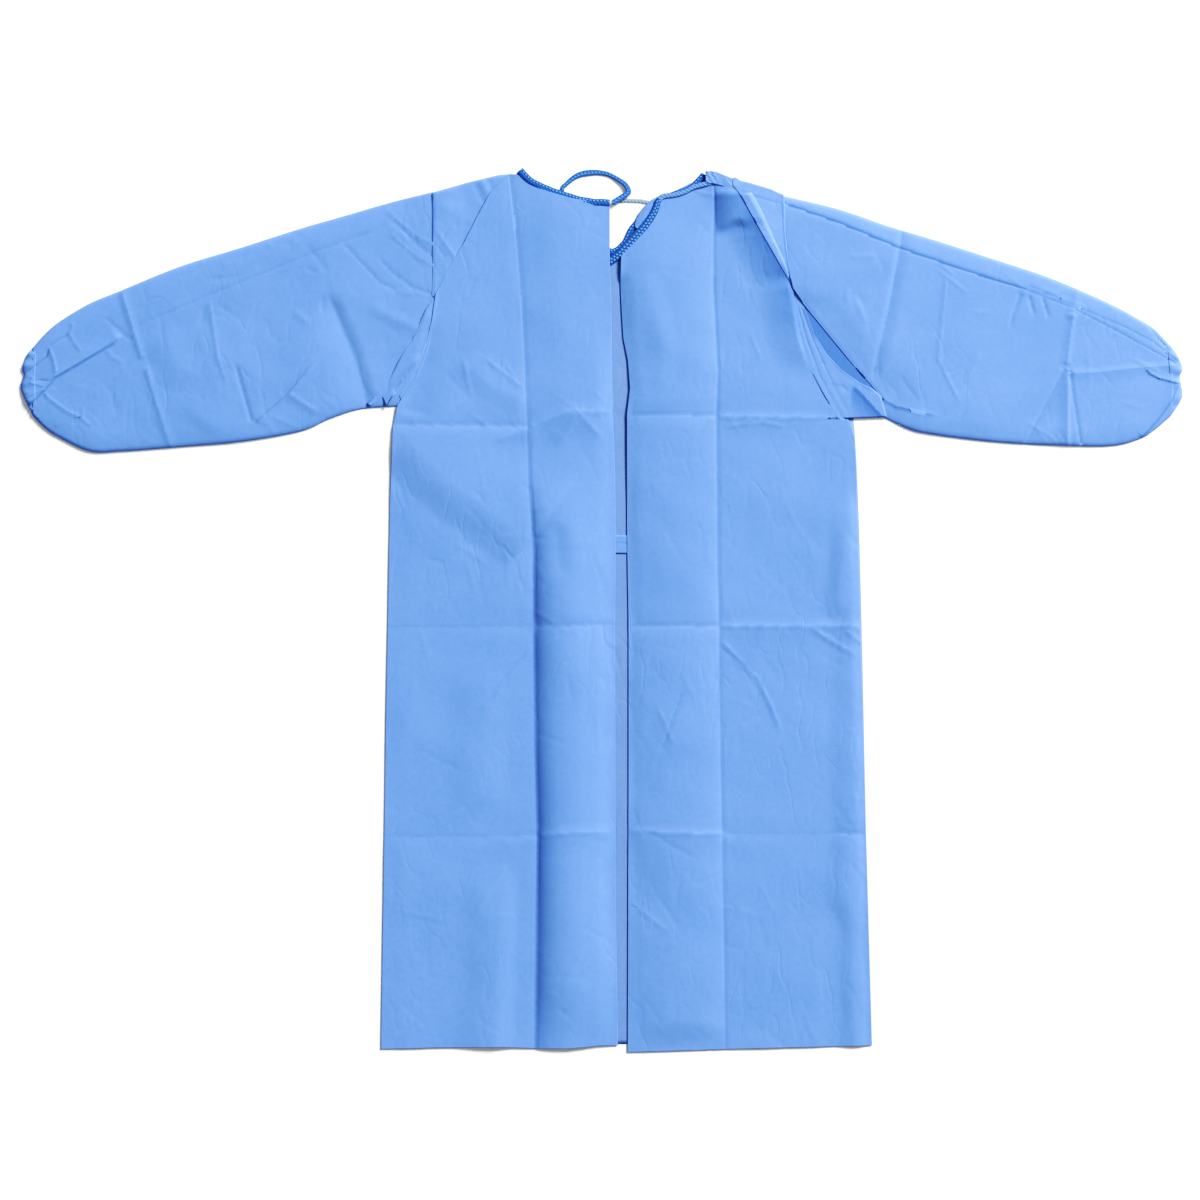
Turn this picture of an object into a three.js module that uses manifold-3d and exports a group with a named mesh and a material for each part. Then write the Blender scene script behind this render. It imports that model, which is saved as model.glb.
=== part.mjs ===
// Disposable surgical gown of non-woven cloth, laid flat on its front with the open back upwards.
// Millimetres. While the pieces are made, x runs across the gown from the middle of the neck, y up
// towards the neck from the shoulder points (so the hem is at -1185) and z up from the table. Left and
// right are as seen from above. At the end the whole gown is moved to stand on the centre of its base.
import * as THREE from "three";
import { mergeVertices } from "three/addons/utils/BufferGeometryUtils.js";
import Module from "manifold-3d";

const wasm = await Module();
wasm.setup();

// ---- Driving dimensions ----
const wall = 1; // a panel's wall
const gap = 0.3; // between two pieces at a seam, and between two layers
const tapeWidth = 11; // folded binding and neck ties
const waistTapeWidth = 24;
const gownLength = 1185; // shoulder point to hem
const neck = { left: -135, right: 128, depth: 106 }; // shoulder ends and lowest point of the front's
const frontHem = -1177; // the front ends a little above the back's hem
const pillow = 2; // how far cloth lifts between the packing folds
const pillowReach = 60; // how far from a fold the cloth is fully lifted
const pleatDepth = 32; // how far the left armhole's pleat reaches in under its fold
const flapDepth = 30; // how far the right sleeve's own folds reach
const foldTurn = 1.2; // the width of cloth that turns at a fold's edge
const sideFold = 25; // how near the side the back comes down on to the front

// The height of a layer's underside: 0 lies on the table, 1 on the front, and so on.
const level = (n) => n * (wall + gap);

// Packing folds, each a straight valley across the back panels.
const foldsAcross = [-336, -612, -893];
const foldDown = { left: -108, right: 146 };

// ---- Cloth colours ----
const cloth = new THREE.MeshStandardMaterial({ color: 0x72a6ea, roughness: 0.75, metalness: 0 });
const inside = new THREE.MeshStandardMaterial({ color: 0x769fdd, roughness: 0.8, metalness: 0 });
const tape = new THREE.MeshStandardMaterial({ color: 0x3d78cc, roughness: 0.7, metalness: 0 });

// ---- Solids ----
// A closed three.js geometry as a manifold solid.
function solidOf(geometry) {
  const bare = new THREE.BufferGeometry();
  bare.setAttribute("position", geometry.getAttribute("position"));
  bare.setIndex(geometry.index);
  const merged = mergeVertices(bare, 1e-3);
  const vertProperties = merged.attributes.position.array;
  const triVerts = new Uint32Array(merged.index.array);
  return new wasm.Manifold(new wasm.Mesh({ numProp: 3, vertProperties, triVerts }));
}

// A manifold solid as a three.js geometry.
function geometryOf(solid) {
  const mesh = solid.getMesh();
  const geometry = new THREE.BufferGeometry();
  geometry.setAttribute("position", new THREE.BufferAttribute(mesh.vertProperties, mesh.numProp));
  geometry.setIndex(new THREE.BufferAttribute(mesh.triVerts, 1));
  geometry.computeVertexNormals();
  return geometry;
}

const corners = (points) => points.map(([x, y]) => new THREE.Vector2(x, y));

// Corners joined by a smooth curve, as count points.
function curved(points, count = 12) {
  return new THREE.SplineCurve(corners(points)).getPoints(count).map((p) => [p.x, p.y]);
}

// A flat piece of cloth with this outline, from z low to z high.
function plate(points, low, high) {
  const shape = new THREE.Shape(corners(points));
  const geometry = new THREE.ExtrudeGeometry(shape, { depth: high - low, bevelEnabled: false });
  return solidOf(geometry.translate(0, 0, low));
}

// A wall between two lines of points, one on each side of a strip, from z low to z high.
const strip = (side, other, low, high) => plate([...side, ...[...other].reverse()], low, high);

// A line of points moved sideways in the plane, to its left when positive.
function beside(line, distance) {
  return line.map((point, i) => {
    const before = line[Math.max(i - 1, 0)];
    const after = line[Math.min(i + 1, line.length - 1)];
    const along = new THREE.Vector2(after[0] - before[0], after[1] - before[1]).normalize();
    return [point[0] - along.y * distance, point[1] + along.x * distance];
  });
}

// Rings of equal length, each a list of [x, y, z], joined into one closed skin. A hollow skin goes on
// from its last ring back to its first; a full one is capped with a fan.
function skin(rings, hollow) {
  const size = rings[0].length;
  const index = [];
  const quad = (a, b, c, d) => index.push(a, b, c, a, c, d);
  const last = rings.length - 1;
  for (let r = 0; r < (hollow ? rings.length : last); r++) {
    const next = (r + 1) % rings.length;
    for (let k = 0; k < size; k++) {
      const beyond = (k + 1) % size;
      quad(r * size + k, r * size + beyond, next * size + beyond, next * size + k);
    }
  }
  for (let k = 1; k < size - 1 && !hollow; k++) {
    index.push(0, k + 1, k);
    index.push(last * size, last * size + k, last * size + k + 1);
  }
  const geometry = new THREE.BufferGeometry();
  geometry.setAttribute("position", new THREE.Float32BufferAttribute(rings.flat(2), 3));
  geometry.setIndex(index);
  const solid = solidOf(geometry);
  if (solid.volume() > 0) return solid;
  for (let i = 0; i < index.length; i += 3) [index[i], index[i + 1]] = [index[i + 1], index[i]];
  geometry.setIndex(index);
  return solidOf(geometry);
}

// A flat tape along a route of [x, y, z of its underside], with one width.
function tapeAlong(route, width, steps, thick = wall) {
  const points = route.map(([x, y, z]) => new THREE.Vector3(x, y, z));
  const curve = new THREE.CatmullRomCurve3(points, false, "centripetal");
  const rings = [];
  for (let i = 0; i <= steps; i++) {
    const at = curve.getPointAt(i / steps);
    at.z = Math.max(at.z, 0);
    const along = curve.getTangentAt(i / steps);
    const side = new THREE.Vector2(-along.y, along.x).normalize().multiplyScalar(width / 2);
    rings.push([
      [at.x - side.x, at.y - side.y, at.z],
      [at.x + side.x, at.y + side.y, at.z],
      [at.x + side.x, at.y + side.y, at.z + thick],
      [at.x - side.x, at.y - side.y, at.z + thick],
    ]);
  }
  return skin(rings, false);
}

// A wall of cloth with this outline whose underside is at heightAt(x, y). It is a slab on the grid of
// lines xs and ys, cut to the outline.
function drape(outline, xs, ys, heightAt) {
  const position = [];
  const index = [];
  const at = (i, j, top) => (i * ys.length + j) * 2 + top;
  for (const x of xs) {
    for (const y of ys) {
      const z = heightAt(x, y);
      position.push(x, y, z, x, y, z + wall);
    }
  }
  const quad = (a, b, c, d) => index.push(a, b, c, a, c, d);
  for (let i = 0; i < xs.length - 1; i++) {
    for (let j = 0; j < ys.length - 1; j++) {
      quad(at(i, j, 1), at(i + 1, j, 1), at(i + 1, j + 1, 1), at(i, j + 1, 1));
      quad(at(i, j, 0), at(i, j + 1, 0), at(i + 1, j + 1, 0), at(i + 1, j, 0));
    }
  }
  const endX = xs.length - 1;
  const endY = ys.length - 1;
  for (let i = 0; i < endX; i++) {
    quad(at(i, 0, 0), at(i + 1, 0, 0), at(i + 1, 0, 1), at(i, 0, 1));
    quad(at(i + 1, endY, 0), at(i, endY, 0), at(i, endY, 1), at(i + 1, endY, 1));
  }
  for (let j = 0; j < endY; j++) {
    quad(at(0, j + 1, 0), at(0, j, 0), at(0, j, 1), at(0, j + 1, 1));
    quad(at(endX, j, 0), at(endX, j + 1, 0), at(endX, j + 1, 1), at(endX, j, 1));
  }
  const geometry = new THREE.BufferGeometry();
  geometry.setAttribute("position", new THREE.Float32BufferAttribute(position, 3));
  geometry.setIndex(index);
  return solidOf(geometry).intersect(plate(outline, -wall, 10 * wall));
}

// The line with its two ends drawn in by a distance.
function drawnIn(line, distance) {
  const toward = ([ax, ay], [bx, by]) => {
    const share = distance / Math.hypot(bx - ax, by - ay);
    return [ax + (bx - ax) * share, ay + (by - ay) * share];
  };
  return [toward(line[0], line[1]), ...line.slice(1, -1), toward(line.at(-1), line.at(-2))];
}

// A straight line of points between two ends.
function straight(from, to, count) {
  const share = (i) => i / count;
  return Array.from({ length: count + 1 }, (_, i) => [
    from[0] + (to[0] - from[0]) * share(i),
    from[1] + (to[1] - from[1]) * share(i),
  ]);
}

// One section of a flattened tube: out along its underside, round the edge and back along its top.
// The top rises towards the far end of the line by rise.
function section(line, low, high, edge, rise) {
  const flat = drawnIn(line, edge + foldTurn);
  const turn = drawnIn(line, Math.max(edge, 0.01));
  const middle = (low + high) / 2;
  const topAt = (i) => high + rise * Math.max(0, (2 * i) / (flat.length - 1) - 1);
  return [
    [...turn[0], middle],
    ...flat.map(([x, y]) => [x, y, low]),
    [...turn.at(-1), middle],
    ...flat.map(([x, y], i) => [x, y, topAt(i)]).reverse(),
  ];
}

// A tube of cloth, open at both ends, through rows of { line, high, rise }.
function openTube(rows) {
  const outer = rows.map(({ line, high, rise = 0 }) => section(line, 0, high, 0, rise));
  const inner = rows.map(({ line, high, rise = 0 }) => section(line, wall, high - wall, wall, rise));
  return skin([...outer, ...inner.reverse()], true);
}

// A layer of cloth that lies on another from its free edge to where it turns down into it.
function flap(edge, depth, low) {
  const far = beside(edge, depth);
  return wasm.Manifold.union([
    strip(edge, far, low, low + wall),
    strip(far, beside(far, Math.sign(depth) * foldTurn), low - gap - wall / 2, low + wall),
  ]);
}

const gown = new THREE.Group();
function add(name, solid, material) {
  const mesh = new THREE.Mesh(geometryOf(solid), material);
  mesh.name = name;
  gown.add(mesh);
}

// ---- Seam lines that several pieces share, each from the shoulder down ----
const across = 12; // steps along an armhole and round half a sleeve
const leftArmhole = curved([[-238, -26], [-238, -110], [-242, -190], [-262, -262], [-290, -317]], across);
const rightArmhole = curved([[231, -30], [233, -92], [248, -190], [276, -279], [306, -331]], across);
const leftSide = [[-290, -317], [-297, -345], [-300, -456], [-305, -726], [-312, -gownLength + 1]];
const rightSide = [[306, -331], [319, -336], [328, -389], [336, -659], [344, -929], [351, -1179]];
const frontNeck = curved(
  [[neck.left, -2], [-78, -30], [-36, -65], [-18, -93], [0, -neck.depth], [18, -93], [32, -70],
    [72, -32], [neck.right, -2]],
  24,
);

// ---- Front: one panel under everything, cut back at the neck by the binding's width ----
const boundNeck = beside(frontNeck, -tapeWidth - gap);
add("front_panel", plate(
  [...leftSide.slice(1).reverse().map(([x, y]) => [x, Math.max(y, frontHem)]),
    ...leftArmhole.slice().reverse(), [-150, -6], ...boundNeck, [142, -8],
    ...rightArmhole, ...rightSide.slice(1).map(([x, y]) => [x, Math.max(y, frontHem)])],
  0, wall,
), inside);
add("neck_binding_front", strip(frontNeck, beside(frontNeck, -tapeWidth), 0, wall), tape);

// ---- Back panels ----
// Cloth lifts between the packing folds and comes down to each of them, to the neck and to the hem.
const neckLine = -30;
const lift = (value, folds) =>
  Math.min(1, Math.min(...folds.map((fold) => Math.abs(value - fold))) / pillowReach);
const liftAt = (x, y, fold) => pillow * lift(y, [neckLine, ...foldsAcross, -gownLength]) * lift(x, [fold]);
const underarm = -322; // below this the back lies on the front alone
const downBack = [-1200, -1120, -1010, -953, -893, -833, -750, -672, -612, -552, -474, -396,
  -336, underarm, -276, -200, -140, -90, neckLine, 12];

// The left panel lies over its own pleat: it folds under at leftFold, comes back by pleatDepth and
// goes out again, lower, to the armhole seam.
const leftFold = [[-139, -3], [-163, -24], [-181, -59], [-219, -128], [-238, -165], [-271, -227],
  [-304, -285], [-331, -313]];
const leftCentre = [[-3, -56], [-3, -175], [3, -327], [5, -600], [8, -1179]];
const leftNeck = curved([[-127, -16], [-100, -31], [-64, -43], [-3, -53]], 8);
const leftHem = [[-16, -1179], [-57, -1183], [-150, -1181], [-240, -1182]];
const overPleat = -90; // inside this line the left panel lies on the inner layer alone
const acrossLeft = [-345, -312, -312 + sideFold, -225, -170, -130, foldDown.left, overPleat, -60,
  -25, 14];
const leftMain = drape(
  [...leftFold, ...leftSide, ...leftHem.slice().reverse(), ...leftCentre.slice().reverse(),
    ...leftNeck.slice().reverse()],
  acrossLeft, downBack,
  (x, y) => {
    if (y >= underarm && x < overPleat) return level(3);
    if (x < -312 + sideFold) return level(1);
    return level(2) + liftAt(x, y, foldDown.left);
  },
);
const upperFold = leftFold.slice(0, 5);
const upperTurn = beside(upperFold, pleatDepth).map(([x, y]) => [x, Math.min(y, -24)]);
const leftPleat = [
  strip(upperFold, beside(upperFold, foldTurn), level(2), level(3) + wall / 2),
  strip(upperFold, upperTurn, level(2), level(2) + wall),
  strip(upperTurn, beside(upperTurn, -foldTurn), level(1), level(2) + wall),
  plate([...leftArmhole.slice(0, 7), ...upperTurn.slice().reverse(), [-163, -12]],
    level(1), level(1) + wall),
];
const underarmFold = [[-240, -175], [-254, -244], [-269, -281], [-291, -313]];
add("back_panel_left", wasm.Manifold.union(
  [leftMain, ...leftPleat, flap(underarmFold, -pleatDepth / 2, level(4))],
), cloth);

// The right panel goes in under the shoulder's fold, turns back and lies on itself out to the armhole.
const rightFold = [[163, -22], [172, -30], [186, -54], [206, -89], [224, -121], [239, -149]];
const rightTurn = [[180, -26], [194, -50], [213, -84], [228, -112], [237, -138]];
const rightCentre = [[12, -123], [12, -196], [22, -262], [25, -292], [20, -327], [21, -1188]];
const rightSlope = curved([[70, -41], [62, -63], [35, -96], [13, -121]], 6);
const rightNeck = curved([[72, -37], [100, -31], [139, -17]], 4);
const acrossRight = [8, 40, 80, 115, foldDown.right, 176, 205, 250, 351 - 2 * sideFold,
  351 - sideFold, 351, 360];
const rightMain = drape(
  [...rightCentre.slice().reverse(), ...rightSlope.slice().reverse(), ...rightNeck, [150, -12],
    ...rightTurn, ...rightArmhole.slice(6), ...rightSide.slice(1), [230, -1182], [90, -1186]],
  acrossRight, downBack,
  (x, y) => {
    if (x > 351 - sideFold && y < underarm) return level(1);
    if (x > foldDown.right && y > -200) return level(2);
    return level(2) + liftAt(x, y, foldDown.right);
  },
);
const shoulderTop = [[213, -24], [172, -12]];
const rightPleat = [
  strip(rightTurn, beside(rightTurn, -foldTurn), level(2), level(3) + wall),
  strip(rightFold, rightTurn, level(3), level(3) + wall),
  strip(rightFold, beside(rightFold, foldTurn), level(3), level(4) + wall),
  plate([...rightFold, ...rightArmhole.slice(0, 5).reverse(), ...shoulderTop], level(4), level(4) + wall),
];
// The neck corner, turned under beside the bound slope.
const corner = [[65, -32], [54, -38], [44, -46], [36, -57], [32, -67], [34, -77], [50, -78], [76, -52]];
const cornerTurn = plate(
  [[66, -60], [72, -56], [75, -47], [70, -50]], level(1), level(2) + pillow + wall / 2,
);
add("back_panel_right", wasm.Manifold.union(
  [rightMain, ...rightPleat, plate(corner, level(1), level(1) + wall), cornerTurn],
), cloth);

// ---- Neck bindings of the back, and the ties ----
add("neck_binding_left", strip(
  beside(leftNeck, gap), beside(leftNeck, tapeWidth), level(2), level(2) + wall,
), tape);

// The slope's binding runs on as a tie between the left panel and the front.
const slopeRoute = [[66, -36, level(2)], [60, -46, level(2)], [52, -61, level(2)], [25, -92, level(2)],
  [13, -104, level(1)], [-6, -122, level(1)], [-42, -152, level(1)], [-74, -190, level(1)]];
const slopeBinding = tapeAlong(slopeRoute, tapeWidth - 2 * gap, 24);
const boundEdge = [[62, -36], ...rightNeck];
const upperBinding = strip(
  beside(boundEdge, gap), beside(boundEdge, tapeWidth / 2), level(2), level(2) + wall,
);
add("neck_binding_right", wasm.Manifold.union([slopeBinding, upperBinding]), tape);

const thinRoute = [[2, -40, 0], [20, -38, 0], [39, -39, 0], [51, -42, 0]];
const loopRoute = [[1, -44, level(2)], [12, -36, 1.8], [23, -29, 1.3], [12, -16, 0], [-3, -4, 0],
  [-23, -2, 0], [-44, -5, 0], [-60, -18, 0.6], [-68, -30, level(1)], [-66, -62, level(1)]];
add("neck_tie_left", tapeAlong(loopRoute, tapeWidth * 0.75, 30), tape);
add("neck_tie_right", tapeAlong(thinRoute, tapeWidth / 2, 6), tape);

const waistHigh = -490;
add("waist_tie", plate(
  [[-24, waistHigh], [-24, waistHigh - waistTapeWidth], [52, waistHigh - waistTapeWidth], [52, waistHigh]],
  level(1), level(1) + wall,
), cloth);

// ---- Sleeves and cuffs: flattened tubes, in rows from the armhole out ----
// x, the upper and the lower edge there, and how high the tube stands.
const leftRows = [
  { x: -421, upper: -77, lower: -350, high: 5.2 }, { x: -502, upper: -103, lower: -364, high: 5.6 },
  { x: -583, upper: -128, lower: -371, high: 5.6 }, { x: -664, upper: -161, lower: -377, high: 5.6 },
  { x: -705, upper: -178, lower: -377, high: 5.6 }, { x: -745, upper: -202, lower: -359, high: 5.6 },
  { x: -765, upper: -219, lower: -346, high: 5.2 }, { x: -781, upper: -237, lower: -330, high: 4.6 },
];
const rightRows = [
  { x: 429, upper: -90, lower: -354, high: 5.2 }, { x: 510, upper: -116, lower: -364, high: 5.6 },
  { x: 591, upper: -143, lower: -369, high: 5.6 }, { x: 672, upper: -178, lower: -370, high: 5.6 },
  { x: 713, upper: -200, lower: -360, high: 5.6 }, { x: 733, upper: -213, lower: -348, high: 5.4 },
  { x: 754, upper: -235, lower: -330, high: 4.6 },
];
const leftCuffRows = [
  { x: -781 - gap, upper: -238, lower: -329, high: 4.6 }, { x: -787, upper: -245, lower: -322, high: 5.4 },
  { x: -793, upper: -255, lower: -312, high: 5.4 }, { x: -798, upper: -266, lower: -304, high: 4.2 },
];
const rightCuffRows = [
  { x: 754 + gap, upper: -236, lower: -329, high: 4.6 }, { x: 760, upper: -244, lower: -323, high: 5.4 },
  { x: 766, upper: -256, lower: -311, high: 5.4 }, { x: 770, upper: -266, lower: -300, high: 4.2 },
];
const layered = level(2) + wall; // the height of front and back lying together
const rowLine = ({ x, upper, lower, high }) => ({ line: straight([x, lower], [x, upper], across), high });
const slanted = (lower, upper, high) => ({ line: straight(lower, upper, across), high });
const armholeLine = (armhole, side) =>
  armhole.map(([x, y]) => [x + side * gap, y]).reverse();

add("sleeve_left", openTube([
  { line: armholeLine(leftArmhole, -1), high: layered },
  slanted([-340, -320], [-300, -42], layered),
  slanted([-381, -333], [-362, -60], layered),
  ...leftRows.map(rowLine),
]), cloth);
const flapEdge = [[250, -170], [263, -188], [286, -213], [317, -251], [350, -289], [360, -302]];
const gussetEdge = [[262, -205], [273, -219], [288, -244], [308, -266], [333, -284], [346, -300]];
add("sleeve_right", wasm.Manifold.union([
  openTube([
    { line: armholeLine(rightArmhole, 1), high: layered, rise: level(4) - level(2) - gap },
    slanted([364, -331], [308, -51], layered),
    slanted([400, -347], [372, -73], layered),
    ...rightRows.map(rowLine),
  ]),
  flap(flapEdge, flapDepth, level(3)),
  flap(gussetEdge, -flapDepth / 4, level(3)),
]), cloth);
add("cuff_left", openTube(leftCuffRows.map(rowLine)), cloth);
add("cuff_right", openTube(rightCuffRows.map(rowLine)), cloth);

// ---- Stand it on the centre of its base ----
const box = new THREE.Box3().setFromObject(gown);
const centre = box.getCenter(new THREE.Vector3());
for (const mesh of gown.children) mesh.geometry.translate(-centre.x, -centre.y, -box.min.z);

export default gown;
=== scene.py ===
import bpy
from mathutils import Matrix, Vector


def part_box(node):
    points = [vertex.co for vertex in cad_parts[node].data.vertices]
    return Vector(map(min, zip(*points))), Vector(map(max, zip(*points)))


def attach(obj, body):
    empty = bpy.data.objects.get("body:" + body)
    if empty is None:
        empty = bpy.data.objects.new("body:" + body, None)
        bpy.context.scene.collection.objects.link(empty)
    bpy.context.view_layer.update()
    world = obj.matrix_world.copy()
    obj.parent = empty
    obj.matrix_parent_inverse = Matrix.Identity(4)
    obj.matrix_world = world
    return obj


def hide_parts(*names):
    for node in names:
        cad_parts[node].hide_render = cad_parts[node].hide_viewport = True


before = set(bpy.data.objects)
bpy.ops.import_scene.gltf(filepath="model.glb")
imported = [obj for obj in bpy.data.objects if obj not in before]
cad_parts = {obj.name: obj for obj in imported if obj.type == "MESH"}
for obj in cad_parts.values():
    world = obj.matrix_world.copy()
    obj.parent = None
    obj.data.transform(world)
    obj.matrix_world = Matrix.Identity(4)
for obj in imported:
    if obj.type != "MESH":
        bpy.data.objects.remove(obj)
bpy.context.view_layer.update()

import math

import bmesh
import bpy
import numpy as np
from mathutils import Vector


# ---- The table and the studio ---------------------------------------------------------------
# A white table top, one soft key light low at the upper right, a weaker one at the right, a pale
# room, and a camera straight above the gown on a long lens with a camera's usual response curve.

TABLE_HALF = 6.0
TABLE_WHITE = (0.93, 0.93, 0.93, 1)
CAMERA_OVER = (-0.0022, 0.0151)
CAMERA_HEIGHT = 4.0
FRAME_WIDTH = 1.62
LENS_MM = 85
KEY_LIGHT = {"azimuth": 47, "elevation": 28, "width": 16, "strength": 4.85}
SIDE_LAMP = {"spot": (1.9, 1.7, 1.5), "size": 1.2, "watts": 34}
ROOM_LIGHT = 0.30
RESPONSE = [
    (0, 0), (0.024, 0.005), (0.056, 0.02), (0.109, 0.07), (0.163, 0.15), (0.283, 0.35), (0.696, 0.8),
    (1, 1),
]

table_mesh = bpy.data.meshes.new("table_top")
table_mesh.from_pydata(
    [(x * TABLE_HALF, y * TABLE_HALF, 0) for x, y in ((-1, -1), (1, -1), (1, 1), (-1, 1))],
    [],
    [(0, 1, 2, 3)],
)
table = bpy.data.objects.new("table_top", table_mesh)
bpy.context.scene.collection.objects.link(table)
table_white = bpy.data.materials.new("table_white")
table_white.use_nodes = True
table_surface = table_white.node_tree.nodes["Principled BSDF"]
table_surface.inputs["Base Color"].default_value = TABLE_WHITE
table_surface.inputs["Roughness"].default_value = 0.9
table_surface.inputs["Specular IOR Level"].default_value = 0.1
table_mesh.materials.append(table_white)

camera_data = bpy.data.cameras.new("camera")
camera_data.lens = LENS_MM
camera_data.sensor_width = LENS_MM * FRAME_WIDTH / CAMERA_HEIGHT
camera = bpy.data.objects.new("camera", camera_data)
camera.location = (*CAMERA_OVER, CAMERA_HEIGHT)
bpy.context.scene.collection.objects.link(camera)
bpy.context.scene.camera = camera

key_data = bpy.data.lights.new("key_light", "SUN")
key_data.energy = KEY_LIGHT["strength"]
key_data.angle = math.radians(KEY_LIGHT["width"])
key_light = bpy.data.objects.new("key_light", key_data)
turn, tilt = math.radians(KEY_LIGHT["azimuth"]), math.radians(KEY_LIGHT["elevation"])
from_key = Vector((math.cos(tilt) * math.cos(turn), math.cos(tilt) * math.sin(turn), math.sin(tilt)))
key_light.rotation_euler = (-from_key).to_track_quat("-Z", "Y").to_euler()
bpy.context.scene.collection.objects.link(key_light)

side_data = bpy.data.lights.new("side_lamp", "AREA")
side_data.shape = "SQUARE"
side_data.size = SIDE_LAMP["size"]
side_data.energy = SIDE_LAMP["watts"]
side_lamp = bpy.data.objects.new("side_lamp", side_data)
side_lamp.location = SIDE_LAMP["spot"]
side_lamp.rotation_euler = (-side_lamp.location).to_track_quat("-Z", "Y").to_euler()
bpy.context.scene.collection.objects.link(side_lamp)

room = bpy.data.worlds.new("room")
room.use_nodes = True
room.node_tree.nodes["Background"].inputs["Color"].default_value = (1, 1, 1, 1)
room.node_tree.nodes["Background"].inputs["Strength"].default_value = ROOM_LIGHT
bpy.context.scene.world = room

view = bpy.context.scene.view_settings
view.view_transform = "Standard"
view.use_curve_mapping = True
response = view.curve_mapping.curves[3]
for x, y in RESPONSE[1:-1]:
    response.points.new(x, y)
view.curve_mapping.update()


# ---- Front panel ----------------------------------------------------------------------------
# The front of the gown, one panel from shoulder to hem, cut from blue spunbond-meltblown-spunbond
# cloth. It lies face down on the table, so its paler inner face shows in the slit and at the neck.

CLOTH_MM = 0.4
INNER_BLUE = (0.152, 0.250, 0.560)
# How many of the cloth's clouds, mottles, grains, fibres and bonding dots there are to a metre, and
# how deep its papery creases and its grain are.
CLOUDS, MOTTLES, GRAINS, FIBRES, BOND_DOTS = 9.0, 150.0, 420.0, 800.0, 620.0
CREASE_DEPTH, GRAIN_DEPTH = 0.0034, 0.0003
FRONT_PITCH = 6.5
FRONT_NECK = [
    (-135, -4), (-78, -32), (-36, -67), (-18, -95), (0, -108), (18, -95), (32, -72), (72, -34),
    (128, -4),
]
FRONT_LEFT = [(-236, -28), (-240, -190), (-262, -262), (-288, -317), (-300, -456), (-309, -1182)]
FRONT_RIGHT = [(231, -30), (248, -190), (276, -279), (306, -331), (330, -389), (349, -1177)]
FRONT_MIDDLE_LEFT = [(-135, -4), (-60, -300), (-60, -700), (-60, -1177)]
FRONT_MIDDLE_RIGHT = [(128, -4), (80, -300), (80, -700), (80, -1177)]

# Distances on the gown are in millimetres from the neck's middle, at the height of the shoulder
# points: this is where that point is in the frame.
NECK_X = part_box("front_panel")[0].x * 1000 + 312
NECK_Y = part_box("back_panel_left")[1].y * 1000 + 3


class Tone:
    """A socket in a finish's node tree, on which plain sums can be written."""

    def __init__(self, tree, socket=None):
        self.tree = tree
        self.socket = socket

    def node(self, kind, settings=None, sockets=None, out=0):
        """A node of this kind: its settings first, then the values or links of its sockets."""
        made = self.tree.nodes.new(kind)
        for name, value in (settings or {}).items():
            setattr(made, name, value)
        for name, value in (sockets or {}).items():
            if isinstance(value, Tone):
                self.tree.links.new(value.socket, made.inputs[name])
            else:
                made.inputs[name].default_value = value
        return Tone(self.tree, made.outputs[out] if made.outputs else None)

    def sum(self, operation, *values):
        return self.node("ShaderNodeMath", {"operation": operation}, dict(enumerate(values)))

    def mix(self, factor, first, second):
        return self.node(
            "ShaderNodeMix", {"data_type": "RGBA"}, {0: factor, 6: first, 7: second}, out=2
        )

    def __add__(self, other):
        return self.sum("ADD", self, other)

    def __radd__(self, other):
        return self.sum("ADD", other, self)

    def __sub__(self, other):
        return self.sum("SUBTRACT", self, other)

    def __rsub__(self, other):
        return self.sum("SUBTRACT", other, self)

    def __mul__(self, other):
        return self.sum("MULTIPLY", self, other)

    def __rmul__(self, other):
        return self.sum("MULTIPLY", other, self)


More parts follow.
